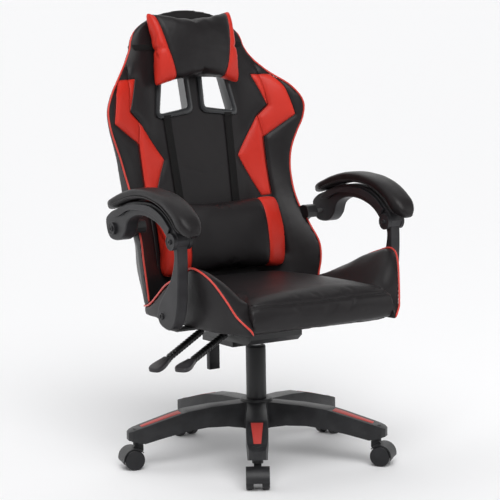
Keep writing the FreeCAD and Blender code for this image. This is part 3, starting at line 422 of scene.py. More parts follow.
def tube(name, path, radius, finish, closed=False, sides=10):
    """A round tube along a path."""
    loops = []
    rows = frames_along(path, closed)
    for i, (point, side, other) in enumerate(rows):
        near_end = min(i, len(rows) - 1 - i)
        size = radius * (1 if closed or near_end > 1 else (0.35, 0.8)[near_end])
        turns = np.linspace(0, 2 * math.pi, sides, endpoint=False)
        loops.append([point + size * (math.cos(t) * side + math.sin(t) * other) for t in turns])
    return stacked(name, loops, finish, closed)


def ribbon(name, path, outward, width, thickness, finish, closed=False):
    """A flat strap: its path, the direction away from what it lies on, and its section."""
    path, outward = np.asarray(path, float), np.asarray(outward, float)
    ahead = np.gradient(path, axis=0)
    if closed:
        ahead = np.roll(path, -1, 0) - np.roll(path, 1, 0)
    across = np.cross(ahead, outward)
    across /= np.linalg.norm(across, axis=1)[:, None]
    outward = outward / np.linalg.norm(outward, axis=1)[:, None]
    loops = []
    for p, a, o in zip(path, across, outward):
        half, low, high = width / 2, 0.1 * thickness, thickness
        loops.append([p - a * half + o * low, p + a * half + o * low, p + a * half + o * high * 0.7,
                      p + a * (half - 0.8) + o * high, p - a * (half - 0.8) + o * high,
                      p - a * half + o * high * 0.7])
    return stacked(name, loops, finish, closed)


def through(stations, at):
    """A smooth curve through (position, value, value, ...) rows, read at given positions."""
    table = np.asarray(stations, float)
    places, values = table[:, 0], table[:, 1:]
    slope = np.gradient(values, places, axis=0)
    at = np.clip(np.atleast_1d(np.asarray(at, float)), places[0], places[-1])
    i = np.clip(np.searchsorted(places, at) - 1, 0, len(places) - 2)
    gap = (places[i + 1] - places[i])[:, None]
    t = ((at - places[i])[:, None]) / gap
    return ((2 * t ** 3 - 3 * t ** 2 + 1) * values[i] + (t ** 3 - 2 * t ** 2 + t) * gap * slope[i]
            + (3 * t ** 2 - 2 * t ** 3) * values[i + 1] + (t ** 3 - t ** 2) * gap * slope[i + 1])


def rounded_path(points, count):
    """Evenly spaced points on a smooth curve through a few given ones."""
    points = np.asarray(points, float)
    reach = np.concatenate([[0], np.cumsum(np.linalg.norm(np.diff(points, axis=0), axis=1))])
    return through(np.column_stack([reach, points]), np.linspace(0, reach[-1], count))


def use(obj):
    bpy.ops.object.select_all(action="DESELECT")
    bpy.context.view_layer.objects.active = obj
    obj.select_set(True)


def modify(obj, kind, **settings):
    """Adds one modifier and applies it."""
    change = obj.modifiers.new(kind, kind)
    for name, setting in settings.items():
        setattr(change, name, setting)
    use(obj)
    bpy.ops.object.modifier_apply(modifier=change.name)
    return obj


def remeshed(obj, cell, smoothing=3):
    """Even quads over a closed form, edges slightly rounded."""
    modify(obj, "REMESH", mode="VOXEL", voxel_size=cell * MM)
    modify(obj, "SMOOTH", factor=0.5, iterations=smoothing)
    obj.data.shade_smooth()
    return obj


def places(obj):
    """The vertices in millimetres."""
    spots = np.empty(len(obj.data.vertices) * 3)
    obj.data.vertices.foreach_get("co", spots)
    return spots.reshape(-1, 3) / MM


def move_to(obj, spots):
    obj.data.vertices.foreach_set("co", (np.asarray(spots) * MM).ravel())
    obj.data.update()
    return obj


def outward(obj):
    """The vertex normals."""
    normals = np.empty(len(obj.data.vertices) * 3)
    obj.data.vertices.foreach_get("normal", normals)
    return normals.reshape(-1, 3)


def mark(obj, name, values):
    """Keeps a distance in millimetres at each vertex as an attribute in metres."""
    layer = obj.data.attributes.new(name, "FLOAT", "POINT")
    layer.data.foreach_set("value", (np.asarray(values) * MM).astype(np.float32))


def line_distance(points, corners, closed=False):
    """Distance of 2-D points to a line of corners; its sign tells the side, or the inside if closed."""
    points, a = np.asarray(points, float), np.asarray(corners, float)
    b = np.roll(a, -1, 0)
    if not closed:
        a, b = a[:-1], b[:-1]
    run = b - a
    offset = points[:, None] - a[None]
    t = np.clip((offset * run).sum(2) / (run ** 2).sum(1), 0, 1)
    gap = offset - t[..., None] * run
    far = np.linalg.norm(gap, axis=2)
    nearest = far.argmin(1)
    rows = np.arange(len(points))
    if not closed:
        cross = run[nearest, 0] * gap[rows, nearest, 1] - run[nearest, 1] * gap[rows, nearest, 0]
        return far[rows, nearest] * np.where(cross < 0, -1, 1)
    px, py = points[:, :1], points[:, 1:]
    spans = (a[None, :, 1] > py) != (b[None, :, 1] > py)
    rise = np.where(run[:, 1] == 0, 1e-9, run[:, 1])
    hits = spans & (px < run[:, 0] * (py - a[:, 1]) / rise + a[:, 0])
    return far[rows, nearest] * np.where(hits.sum(1) % 2, 1, -1)


def groove(distance, width):
    """1 on a seam, falling to 0 a little way off."""
    return np.exp(-(np.asarray(distance) / width) ** 2)


def ripple(spots, size, seed):
    """A smooth random-looking field between -1 and 1, the same each run."""
    draw = np.random.default_rng(seed)
    field = np.zeros(len(spots))
    for _ in range(6):
        way = draw.normal(size=3)
        field += np.sin(spots @ way / np.linalg.norm(way) * 2 * math.pi / (size * draw.uniform(0.7, 1.5))
                        + draw.uniform(0, 6.3))
    return field / 4


def inflated(obj, pressure, cap, frames=20):
    """Swells a closed form as cloth under pressure, no point moving further than the cap."""
    start = places(obj)
    cloth = obj.modifiers.new("Cloth", "CLOTH")
    cloth.settings.quality = 4
    cloth.settings.mass = 0.3
    cloth.settings.tension_stiffness = 18
    cloth.settings.compression_stiffness = 12
    cloth.settings.bending_stiffness = 0.6
    cloth.settings.use_pressure = True
    cloth.settings.uniform_pressure_force = pressure
    cloth.settings.effector_weights.gravity = 0
    cloth.point_cache.frame_start, cloth.point_cache.frame_end = 1, frames
    for number in range(1, frames + 1):
        bpy.context.scene.frame_set(number)
    shown = obj.evaluated_get(bpy.context.evaluated_depsgraph_get())
    ended = np.empty(len(shown.data.vertices) * 3)
    shown.data.vertices.foreach_get("co", ended)
    step = ended.reshape(-1, 3) / MM - start
    obj.modifiers.remove(cloth)
    bpy.context.scene.frame_set(1)
    far = np.linalg.norm(step, axis=1)[:, None]
    return move_to(obj, start + step * np.minimum(1, cap / np.maximum(far, 1e-6)))


# ---------------------------------------------------------------------------------------------
# Carried-over parts with rounded edges
# ---------------------------------------------------------------------------------------------
def softened(node, width, segments=2, angle=32):
    """A copy of a frame part, its facets merged and its edges rounded, in the part's place."""
    part = NODES[node]
    obj = bpy.data.objects.new(f"{node}_shaped", part.data.copy())
    bpy.context.scene.collection.objects.link(obj)
    merged = bmesh.new()
    merged.from_mesh(obj.data)
    bmesh.ops.remove_doubles(merged, verts=merged.verts, dist=2e-6)
    bmesh.ops.dissolve_limit(merged, angle_limit=math.radians(0.6), verts=merged.verts, edges=merged.edges)
    merged.to_mesh(obj.data)
    merged.free()
    if "custom_normal" in obj.data.attributes:
        obj.data.attributes.remove(obj.data.attributes["custom_normal"])
    modify(obj, "BEVEL", width=width * MM, segments=segments, limit_method="ANGLE",
           angle_limit=math.radians(angle),
           harden_normals=False)
    obj.data.shade_smooth()
    use(obj)
    bpy.ops.object.shade_smooth_by_angle(angle=math.radians(35))
    wear_finish(obj, BY_SLOT[NODE_SLOT[node]])
    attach(obj, part["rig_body"])
    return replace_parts(obj, node)


def carry_over():
    """Every frame part gets its finish; the larger hard ones also get rounded edges."""
    for node, part in NODES.items():
        finish = BY_SLOT[NODE_SLOT[node]]
        part.data.materials.clear()
        part.data.materials.append(finish.material)
    softened("star_base", 2.2)
    softened("tilt_housing", 1.6)
    softened("seat_plate", 0.8)
    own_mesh(softened("tilt_spring", 0.5))
    softened("leg_inserts", 0.5)
    softened("column_tube", 0.8)
    softened("tension_grip", 1.5)


# ---------------------------------------------------------------------------------------------
# Backrest
# ---------------------------------------------------------------------------------------------
def back_edge(z):
    """Half width and forward reach of the backrest's edge at a height, and where its side ends."""
    half, reach, side = through(BACK_EDGE, z)[0]
    if z > DOME_START:
        share = (z - DOME_START) / (BACK_LENGTH - DOME_START)
        dome = DOME_HALF * max(0.0, 1 - share ** DOME_BOW) ** DOME_FALL
        half = dome if z > DOME_START + 25 else half + (dome - half) * (z - DOME_START) / 25
    return half, reach, side - reach


def front_face(x, z):
    """How far forward the backrest's front is at a point across and up."""
    half, reach, _ = back_edge(z)
    share = np.clip((np.abs(x) - FLAT_HALF) / max(half - FLAT_HALF, 1), 0, 1)
    roll = 5.0 * np.clip((half - np.abs(x)) / 26, 0, 1) * np.clip(share * 2, 0, 1)
    return reach * share ** WING_BOW + roll


def back_section(z):
    """The backrest's outline at a height, as (across, to the rear) going round."""
    half, reach, side = back_edge(z)
    across = np.linspace(-1, 1, 49)
    front = [(a * half, -front_face(a * half, z)) for a in across]
    thick = through(BACK_DEPTH, z)[0][0]
    right = [(half, side * 0.5 - reach * 0.5)]
    for wide, deep in ((1, 0), (0.94, 0.24), (0.88, 0.49), (0.81, 0.74), (0.76, 0.89), (0.7, 0.97),
                       (0.62, 1)):
        right.append((half * wide - 2, side + (thick - side) * deep))
    rear = [(x, thick) for x in np.linspace(right[-1][0], -right[-1][0], 9)[1:-1]]
    left = [(-x, y) for x, y in reversed(right)]
    return np.array(front + right + rear + left)


def opening_block(side, grow, name="hole"):
    """The form of one belt opening, right through the back."""
    loops = []
    for y, more in ((-60, 0), (0, 0), (46, 13), (120, 13)):
        loops.append([(side * x, y, z) for x, z in softened_corners(opening_corners(grow + more),
                                                                    9 + grow)])
    return stacked(name, loops, HIDE)


def opening_corners(grow):
    """The hole's corners, moved outwards."""
    middle = np.mean(OPENING, axis=0)
    return [(x + math.copysign(grow, x - middle[0]), z + math.copysign(grow, z - middle[1])) for x,
            z in OPENING]


def softened_corners(corners, radius, steps=6):
    """A closed outline with its corners rounded."""
    corners = [np.asarray(c, float) for c in corners]
    ring = []
    for i, here in enumerate(corners):
        before, after = corners[i - 1], corners[(i + 1) % len(corners)]
        ins, outs = (before - here), (after - here)
        a = here + ins / np.linalg.norm(ins) * radius
        b = here + outs / np.linalg.norm(outs) * radius
        for t in np.linspace(0, 1, steps):
            ring.append((1 - t) ** 2 * a + 2 * t * (1 - t) * here + t * t * b)
    return ring


def back_shape():
    """The backrest's padded shell with its two openings, upright, in its own frame."""
    dome = 640 + (BACK_LENGTH - 640) * np.sin(np.linspace(0, math.pi / 2 - 0.06, 16))[1:]
    heights = np.concatenate([np.linspace(-34, 640, 98), dome])
    loops = [[(x, y, z) for x, y in back_section(z)] for z in heights]
    shell = stacked("backrest", loops, PANELLED)
    for side in (-1, 1):
        hole = opening_block(side, 5)
        modify(shell, "BOOLEAN", operation="DIFFERENCE", object=hole, solver="EXACT")
        bpy.data.objects.remove(hole)
    return remeshed(shell, 4.6, 4)


def backrest():
    shell = back_shape()
    spots, away = places(shell), outward(shell)
    flat = np.column_stack([np.abs(spots[:, 0]), spots[:, 2]])
    front = np.clip(-away[:, 1] * 3, 0, 1)
    panel = line_distance(flat, ZIGZAG, closed=True)
    wing = line_distance(flat, WING_SEAM)
    depth = 3.0 * groove(panel, 6) + 2.8 * groove(wing, 6) + 0.7 * groove(line_distance(flat, CHEVRON), 3.5)
    puff = 1.6 * np.clip(np.minimum(np.abs(panel), np.abs(wing)) / 22, 0, 1)
    soft = 0.45 * ripple(spots, 90, 3) + 0.12 * ripple(spots, 35, 4)
    spots = spots + away * ((puff - depth + soft) * front + (1 - front) * soft * 0.8)[:, None]
    move_to(shell, spots)
    mark(shell, "panel", np.where(front > 0.2, panel, -np.abs(panel) - 5))
    mark(shell, "seam", np.where(front > 0.2, wing, 50))
    shell.data.transform(BACK_PLACE)
    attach(shell, "back")
    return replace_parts(shell, "back_pad")


def back_piping():
    """The red welt round the backrest's front edge."""
    rise = np.concatenate([np.linspace(-31, 640, 124),
                           640 + 66 * np.sin(np.linspace(0, math.pi / 2, 40))[1:]])
    half_line = []
    for z in rise:
        half, reach, _ = back_edge(min(z, BACK_LENGTH - 0.05))
        tuck = min(1, max(0, (z - 640) / 40))
        half_line.append((half - 1 - 2 * tuck, -reach + 0.3 + 9 * tuck, z - 2 * tuck))
    line = [(-x, y, z) for x, y, z in half_line[:-1]] + half_line[::-1][:1] + half_line[-2::-1]
    welt = tube("back_piping", line, PIPING, RED_WELT)
    welt.data.transform(BACK_PLACE)
    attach(welt, "back")


def opening_liners():
    """Gloss plastic surrounds of the two belt openings: a flange in front and a deep sleeve."""
    for side, hand in ((1, "left"), (-1, "right")):
        loops = []
        for grow, y in ((14, 3), (15, -2.5), (13.5, -6.5), (8, -8), (2, -6.6), (0, -3), (13, 49), (19, 52),
                        (18, 47), (7, 3)):
            loops.append([(side * x, y, z) for x,
                          z in softened_corners(opening_corners(grow), 9 + 0.8 * grow, 8)])
        liner = stacked(f"opening_liner_{hand}", loops, GLOSS, closed=True)
        liner.data.transform(BACK_PLACE)
        use(liner)
        bpy.ops.object.shade_smooth_by_angle(angle=math.radians(40))
        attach(liner, "back")
        if side > 0:
            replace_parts(liner, "opening_rings")


def lumbar_straps():
    """Two webbing straps from the openings' rims down behind the lumbar pillow."""
    for side, hand in ((1, "left"), (-1, "right")):
        rise = np.linspace(436, 30, 40)
        across = 91 - 8 * (432 - rise) / 217
        path = [(side * x, -front_face(x, z) - 3.4 - 3.5 * math.exp(-((z - 436) / 10) ** 2), z) for x,
                z in zip(across, rise)]
        away = [(0, -1, 0)] * len(path)
        strap = ribbon(f"lumbar_strap_{hand}", path, away, 21, 2.2, BY_SLOT["webbing_black"])
        strap.data.transform(BACK_PLACE)
        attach(strap, "back")
        if side > 0:
            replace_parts(strap, "lumbar_straps")


def head_band():
    """The elastic band that holds the head pillow, once round the back."""
    height = 612
    loop = back_section(height)
    reach = np.concatenate([[0], np.cumsum(np.linalg.norm(np.diff(loop, axis=0), axis=1))])
    even = np.linspace(0, reach[-1], 150, endpoint=False)
    ring = np.column_stack([np.interp(even, reach, loop[:, k]) for k in range(2)])
    for _ in range(6):
        ring = (np.roll(ring, 1, 0) + ring * 2 + np.roll(ring, -1, 0)) / 4
    ahead = np.roll(ring, -1, 0) - np.roll(ring, 1, 0)
    away = np.column_stack([ahead[:, 1], -ahead[:, 0], np.zeros(len(ring))])
    away /= np.linalg.norm(away, axis=1)[:, None]
    if (away[:, :2] * (ring - ring.mean(0))).sum() < 0:
        away = -away
    path = np.column_stack([ring, np.full(len(ring), height)]) + away * 1.2
    band = ribbon("head_band", path, away, 16, 1.6, BY_SLOT["webbing_black"], closed=True)
    band.data.transform(BACK_PLACE)
    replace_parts(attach(band, "back"), "head_strap")


# ---------------------------------------------------------------------------------------------
# Loose pillows
# ---------------------------------------------------------------------------------------------
def pillow_form(name, half_width, half_height, front, back, waist, dip, corner=0.0):
    """Two curved faces that meet in a thin rim; the rim draws in between the corners."""
    steps = np.linspace(-1, 1, 41)
    points, faces = [], []
    size = len(steps)
    for face in (1, -1):
        for v in steps:
            for u in steps:
                wide = half_width - waist * (1 - abs(v) ** 2.2)
                tall = half_height - dip * (1 - abs(u) ** 2.2)
                x = u * wide * (1 - corner * (abs(u) * abs(v)) ** 6)
                z = v * tall * (1 - corner * (abs(u) * abs(v)) ** 6)
                dome = ((1 - abs(u) ** 3.2) * (1 - abs(v) ** 2.8)) ** 0.5
                y = -front * dome - 3 if face > 0 else back * dome ** 0.7 + 3
                points.append((x, y, z))
        base = 0 if face > 0 else size * size
        for i in range(size - 1):
            for j in range(size - 1):
                a = base + i * size + j
                faces.append((a, a + 1, a + size + 1, a + size))
    rim = [j for j in range(size)] + [i * size + size - 1 for i in range(1, size)]
    rim += [(size - 1) * size + j for j in range(size - 2, -1, -1)] + [i * size for i in range(size - 2, 0,
                                                                                               -1)]
    far = size * size
    for a, b in zip(rim, rim[1:] + rim[:1]):
        faces.append((a, b, b + far, a + far))
    return solid(name, points, faces, PANELLED)


def head_pillow():
    """Bow-tie shaped pillow, red at both ends."""
    centre, rim = 603, -22
    pillow = remeshed(pillow_form("head_pillow", 131, 99, 37, 14, 5, 15, corner=0.05), 4, 2)
    inflated(pillow, 4.0, 9)
    spots, away = places(pillow), outward(pillow)
    x, z = spots[:, 0], spots[:, 2]
    share = np.clip((99 - z) / 198, 0, 1)
    line = 108 - 42 * share ** 1.5
    panel = np.abs(x) - line
    front = np.clip(-away[:, 1] * 4 + 0.6, 0, 1)
    lines = 1.3 * np.sin(x / 7.5 + z / 16) * np.clip((z - 35) / 45, 0, 1) * groove(x, 75)
    pinch = 5.0 * groove(z + 3, 5) * np.clip((np.abs(x) - 84) / 40, 0, 1)
    spots = spots - away * (3.2 * groove(panel, 5) * front + pinch - lines * front)[:, None]
    spots = spots + away * (0.5 * ripple(spots, 50, 8) + 0.25 * ripple(spots, 18, 9))[:, None]
    move_to(pillow, spots)
    mark(pillow, "panel", panel)
    mark(pillow, "seam", np.full(len(spots), 50))
    pillow.data.transform(BACK_PLACE @ Matrix.Translation(Vector((0, rim, centre)) * MM))
    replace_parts(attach(pillow, "back"), "head_pillow")


def lumbar_pillow():
    """Long pillow at the loins, black in the middle and red at both ends."""
    centre, rim = 117, -36
    pillow = remeshed(pillow_form("lumbar_pillow", 191, 97, 50, 22, 3, 3, corner=0.07), 4.6, 2)
    inflated(pillow, 4.0, 9)
    spots, away = places(pillow), outward(pillow)
    x, z = spots[:, 0], spots[:, 2]
    panel = np.abs(x) - 117
    spots = spots - away * (3.0 * groove(panel, 6))[:, None]
    spots = spots + away * (0.6 * ripple(spots, 90, 12) + 0.15 * ripple(spots, 35, 13))[:, None]
    move_to(pillow, spots)
    mark(pillow, "panel", panel)
    mark(pillow, "seam", np.full(len(spots), 50))
    pillow.data.transform(BACK_PLACE @ Matrix.Translation(Vector((0, rim, centre)) * MM))
    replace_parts(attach(pillow, "lumbar"), "lumbar_pillow")


# ---------------------------------------------------------------------------------------------
# Seat
# ---------------------------------------------------------------------------------------------
def cushion_half(y):
    """Half width of the seat's middle, wider where it wraps round the front corner."""
    return CUSHION_HALF + 17 * np.clip((-225 - y) / 75, 0, 1) ** 1.5


def seat_cushion():
    """The middle of the seat: crowned top, soft front edge and a front panel."""
    profile = rounded_path([
        (-300, SEAT_BOTTOM + 2), (-309, 384), (-308, 412), (-300, 436), (-276, 449), (-220, 455),
        (-150, 455), (-60, 453),
        (40, 449), (116, 444), (150, 434), (154, 410), (151, SEAT_BOTTOM + 3)], 90)
    loops = []
    for u in np.linspace(-1, 1, 61):
        edge = abs(u) ** 5
        loop = []
        for y, z in profile:
            sink = np.clip((z - 405) / 45, 0, 1)
            loop.append((u * cushion_half(y), y + (5 * edge if y < -270 else 0),
                         z - sink * (12 * edge + 2.5 * u * u)))
        loops.append(loop)
    cushion = remeshed(stacked("seat_cushion_cover", loops, SEAMED), 5, 3)
    inflated(cushion, 3.0, 5)
    spots, away = places(cushion), outward(cushion)
    x, y, z = spots.T
    front_line = z - 437 + 2.5 * np.cos(x / 205 * math.pi / 2)
    corner = np.clip((np.abs(x) - 150) / 50, 0, 1) * groove(y + 295, 35)
    puckers = 0.7 * np.sin(x / 4.5 + z / 9) * corner * np.clip((z - 395) / 30, 0, 1)
    depth = 2.4 * groove(front_line, 5) * np.where(y < -285, 1, 0)
    soft = 0.6 * ripple(spots, 170, 21) + 0.15 * ripple(spots, 60, 22)
    move_to(cushion, spots + away * (soft + puckers - depth)[:, None])
    mark(cushion, "seam", np.where(y < -270, front_line, 50))
    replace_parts(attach(cushion, "seat"), "seat_cushion")


def bolster_loop(y, side):
    """The bolster's outline at one distance back, as (across, up) going round from its inner foot."""
    foot, ridge, top = through(BOLSTER, y)[0]
    inner = cushion_half(y) - 4
    valley = min(top - 3, 441)
    loop = [(inner, SEAT_BOTTOM + 2), ((inner + foot) / 2, SEAT_BOTTOM)]
    for t in np.linspace(0, 1, 14):
        bulge = 2.5 * math.sin(math.pi * t) * np.clip((top - 385) / 60, 0, 1)
        loop.append((foot + (ridge - foot) * t ** 1.3 + bulge,
                     SEAT_BOTTOM + 1 + (top - SEAT_BOTTOM - 3) * t))
    for t in np.linspace(0, 1, 12)[1:]:
        swell = 9 * math.sin(math.pi * min(1, t * 1.15)) * np.clip((top - 440) / 60, 0, 1)
        width = ridge - 6 - inner
        loop.append((ridge - 6 - width * t + swell * 0.3, top - (top - valley) * (t ** 1.25) + swell))
    return [(side * x, y, z) for x, z in loop]


def seat_bolster(side, hand):
    """One raised side of the seat, with the red welt along its ridge."""
    rows = np.concatenate([np.linspace(-305, -160, 34), np.linspace(-150, 157, 44)])
    form = stacked(f"seat_bolster_cover_{hand}", [bolster_loop(y, side) for y in rows], HIDE)
    remeshed(form, 4.4, 3)
    spots, away = places(form), outward(form)
    soft = 0.5 * ripple(spots, 110, 31) + 0.15 * ripple(spots, 40, 32)
    move_to(form, spots + away * soft[:, None])
    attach(form, "seat")
    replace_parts(form, f"seat_bolster_{hand}")
    ridge = through(BOLSTER, rows)
    path = [(side * (r + 0.8), y, t + 0.8) for y, (_, r, t) in zip(rows, ridge)]
    path = [(side * 204, -306, 372)] + path + [(side * 206, 165, 384), (side * 180, 168, 384)]
    welt = tube(f"seat_piping_{hand}", rounded_path(path, 150), PIPING, RED_WELT)
    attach(welt, "seat")


# ---------------------------------------------------------------------------------------------
# Arm pads
# ---------------------------------------------------------------------------------------------
def pad_rings(side):
    """Sections of the arched pad from its nose to its rear end."""
    top = rounded_path(PAD_TOP, 70)
    foot = rounded_path(PAD_FOOT, 70)
    loops = []
    for i, (high, low) in enumerate(zip(top, foot)):
        middle, rise = (high + low) / 2, (high - low) / 2
        near = min(i, 69 - i) / 8
        full = math.sin(min(1, 0.25 + 0.75 * near) * math.pi / 2)
        loop = []
        for turn in np.linspace(0, 2 * math.pi, 40, endpoint=False):
            across = math.copysign(abs(math.cos(turn)) ** 0.62, math.cos(turn)) * PAD_HALF * full
            up = math.copysign(abs(math.sin(turn)) ** 0.72, math.sin(turn))
            spot = middle + rise * up * (0.55 + 0.45 * full)
            loop.append((side * (ARM_X + across), ARM_PIVOT[0] + spot[0], ARM_PIVOT[1] + spot[1]))
        loops.append(loop)
    return loops


def arm_pad(side, hand):
    """The padded leather top of one arm, with a welt along each lower edge."""
    loops = pad_rings(side)
    pad = remeshed(stacked(f"{hand}_arm_pad", loops, HIDE), 3.2, 3)
    inflated(pad, 3.0, 2.5)
    spots, away = places(pad), outward(pad)
    soft = 0.35 * ripple(spots, 60, 41) + 0.12 * ripple(spots, 25, 42)
    move_to(pad, spots + away * soft[:, None])
    body = f"{hand}_arm"
    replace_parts(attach(pad, body), f"{hand}_pad")
    for edge, place in (("outer", 37), ("inner", 23)):
        path = [loops[i][place % 40] for i in range(4, 66)]
        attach(tube(f"{hand}_pad_welt_{edge}", path, 1.7, HIDE), body)


# ---------------------------------------------------------------------------------------------
# Hard details, modelled from primitives
# ---------------------------------------------------------------------------------------------
def pick(obj, test):
    """In edit mode, selects the faces whose centre and normal pass a test."""
    bpy.ops.object.mode_set(mode="OBJECT")
    for face in obj.data.polygons:
        face.select = bool(test(face.center, face.normal))
    for item in list(obj.data.edges) + list(obj.data.vertices):
        item.select = False
    bpy.ops.object.mode_set(mode="EDIT")
    bpy.ops.mesh.select_mode(type="FACE")


def settle(obj, name, finish, body, angle=35):
    """Leaves edit mode, fixes the placement in the mesh and finishes the piece."""
    bpy.ops.object.mode_set(mode="OBJECT")
    obj.name = obj.data.name = name
    use(obj)
    bpy.ops.object.transform_apply(location=True, rotation=True, scale=True)
    bpy.ops.object.shade_smooth_by_angle(angle=math.radians(angle))
    wear_finish(obj, finish)
    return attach(obj, body)


def bolt(name, centre, way, radius, body, finish=None):
    """A domed cap screw with a socket, its head facing along X."""
    bpy.ops.mesh.primitive_cylinder_add(vertices=36, radius=radius * MM, depth=4 * MM,
                                        location=Vector(centre) * MM,
                                        rotation=(0, math.radians(90) * way, 0))
    obj = bpy.context.active_object
    bpy.ops.object.mode_set(mode="EDIT")
    pick(obj, lambda centre, normal: normal.z > 0.9)
    bpy.ops.mesh.inset(thickness=radius * 0.22 * MM)
    bpy.ops.transform.translate(value=Vector((way * 1.0 * MM, 0, 0)))
    bpy.ops.mesh.inset(thickness=radius * 0.28 * MM)
    bpy.ops.mesh.extrude_region_move(TRANSFORM_OT_translate={"value": Vector((-way * 2.2 * MM, 0, 0))})
    settle(obj, name, finish or BY_SLOT["steel_black"], body)
    return modify(obj, "BEVEL", width=0.4 * MM, segments=2, limit_method="ANGLE")


def lever_sleeve(name, knee, end, body, node, rings=13):
    """A corrugated sleeve from the lever's knee to its paddle."""
    knee, end = Vector(knee) * MM, Vector(end) * MM
    way = (end - knee).normalized()
    length = (end - knee).length - PADDLE_LENGTH * MM
    pitch = length / rings
    bpy.ops.mesh.primitive_cylinder_add(vertices=28, radius=6.6 * MM, depth=pitch * 0.2, location=(0, 0, 0))
    obj = bpy.context.active_object
    bpy.ops.object.mode_set(mode="EDIT")
    pick(obj, lambda centre, normal: normal.z > 0.9)
    for _ in range(rings):
        for rise, grow in ((0.2, 1.42), (0.24, 1.0), (0.2, 0.704), (0.36 - 0.2 / rings, 1.0)):
            bpy.ops.mesh.extrude_region_move(TRANSFORM_OT_translate={"value": Vector((0, 0, pitch * rise))})
            bpy.ops.transform.resize(value=(grow, grow, 1))
    bpy.ops.object.mode_set(mode="OBJECT")
    obj.matrix_world = Matrix.Translation(knee) @ way.to_track_quat("Z", "Y").to_matrix().to_4x4()
    settle(obj, name, BY_SLOT["rubber_black"], body, angle=60)
    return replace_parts(obj, node)


def lever_paddle(name, knee, end, body, node):
    """A flat teardrop grip at the lever's end."""
    knee, end = Vector(knee) * MM, Vector(end) * MM
    along = (end - knee).normalized()
    flat = Vector((0, 0, 1)).cross(along).normalized()
    up = along.cross(flat)
    start = end - along * PADDLE_LENGTH * MM
    bpy.ops.mesh.primitive_cube_add(size=1, location=(0, 0, 0), scale=(23 * MM, 13 * MM, 8 * MM))
    bpy.ops.object.transform_apply(scale=True)
    obj = bpy.context.active_object
    bpy.ops.object.mode_set(mode="EDIT")
    pick(obj, lambda centre, normal: normal.z > 0.9)
    for rise, wide, deep in ((14, 1.40, 1.0), (18, 1.24, 1.0), (12, 0.94, 0.95), (8, 0.80, 0.9),
                             (3.5, 0.62, 0.7)):
        bpy.ops.mesh.extrude_region_move(TRANSFORM_OT_translate={"value": Vector((0, 0, rise * MM))})
        bpy.ops.transform.resize(value=(wide, deep, 1))
    bpy.ops.object.mode_set(mode="OBJECT")
    turn = Matrix((flat, up, along)).transposed().to_4x4()
    obj.matrix_world = Matrix.Translation(start + along * 4 * MM) @ turn
    settle(obj, name, LEVER, body)
    modify(obj, "BEVEL", width=1.2 * MM, segments=1, limit_method="ANGLE", angle_limit=math.radians(50))
    modify(obj, "SUBSURF", levels=2, render_levels=2)
    obj.data.shade_smooth()
    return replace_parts(obj, node)


def levers():
    for name, body, knee, end in (("lift_lever", "height_lever", (-118, 63, 324), (-300, -7, 256)),
                                  ("lock_lever", "lock_lever", (-100, -17, 324), (-300, -133, 276))):
        lever_sleeve(f"{name}_bellows", knee, end, body, f"{name}_sleeve")
        lever_paddle(f"{name}_grip", knee, end, body, f"{name}_paddle")


def plate(name, outline, low, high, rounding, finish, body):
    """A moulded plate: a flat outline of (back, up) points, smoothed, thickened along X and rounded."""
    ring = rounded_path(outline + outline[:1], 97)[:-1]
    bpy.ops.mesh.primitive_circle_add(vertices=len(ring), radius=0.1, fill_type="NGON")
    obj = bpy.context.active_object
    for vertex, (y, z) in zip(obj.data.vertices, ring):
        vertex.co = Vector((low, y, z)) * MM
    bpy.ops.object.mode_set(mode="EDIT")
    bpy.ops.mesh.select_all(action="SELECT")
    bpy.ops.mesh.extrude_region_move(TRANSFORM_OT_translate={"value": Vector(((high - low) * MM, 0, 0))})
    bpy.ops.mesh.select_all(action="SELECT")
    bpy.ops.mesh.normals_make_consistent(inside=False)
    settle(obj, name, finish, body)
    modify(obj, "BEVEL", width=rounding * MM, segments=3, limit_method="ANGLE",
           angle_limit=math.radians(40))
    use(obj)
    bpy.ops.object.shade_smooth_by_angle(angle=math.radians(40))
    return obj


def arm_strap(name, low, high):
    """The steel strap under the seat that carries an arm post, turned up behind the post."""
    bpy.ops.mesh.primitive_cube_add(size=1, location=Vector(((low + high) / 2, POST_PIVOT[0], 366.5)) * MM,
                                    scale=Vector((high - low, 40, 5)) * MM)
    obj = bpy.context.active_object
    settle(obj, name, BY_SLOT["steel_black"], "seat")
    side = 1 if high > 0 else -1
    bpy.ops.object.mode_set(mode="EDIT")
    pick(obj, lambda centre, normal: normal.x * side > 0.9)
    bpy.ops.mesh.extrude_region_move(TRANSFORM_OT_translate={"value": Vector((side * 5 * MM, 0, 0))})
    pick(obj, lambda centre, normal: normal.z > 0.9 and centre.x * side > 0.288)
    bpy.ops.mesh.extrude_region_move(TRANSFORM_OT_translate={"value": Vector((0, 0, 40 * MM))})
    bpy.ops.object.mode_set(mode="OBJECT")
    return modify(obj, "BEVEL", width=0.8 * MM, segments=2, limit_method="ANGLE")


def disc(name, centre, radius, thickness, body, finish):
    """A round boss along X with a raised rim and a dished face on both sides."""
    bpy.ops.mesh.primitive_cylinder_add(vertices=48, radius=radius * MM, depth=thickness * MM,
                                        location=Vector(centre) * MM,
                                        rotation=(0, math.radians(90), 0))
    obj = bpy.context.active_object
    bpy.ops.object.mode_set(mode="EDIT")
    for way in (1, -1):
        pick(obj, lambda centre, normal: normal.z * way > 0.9)
        bpy.ops.mesh.inset(thickness=radius * 0.16 * MM)
        bpy.ops.mesh.extrude_region_move(TRANSFORM_OT_translate={"value": Vector((-way * 0.9 * MM, 0, 0))})
    settle(obj, name, finish, body)
    return modify(obj, "BEVEL", width=0.7 * MM, segments=2, limit_method="ANGLE")


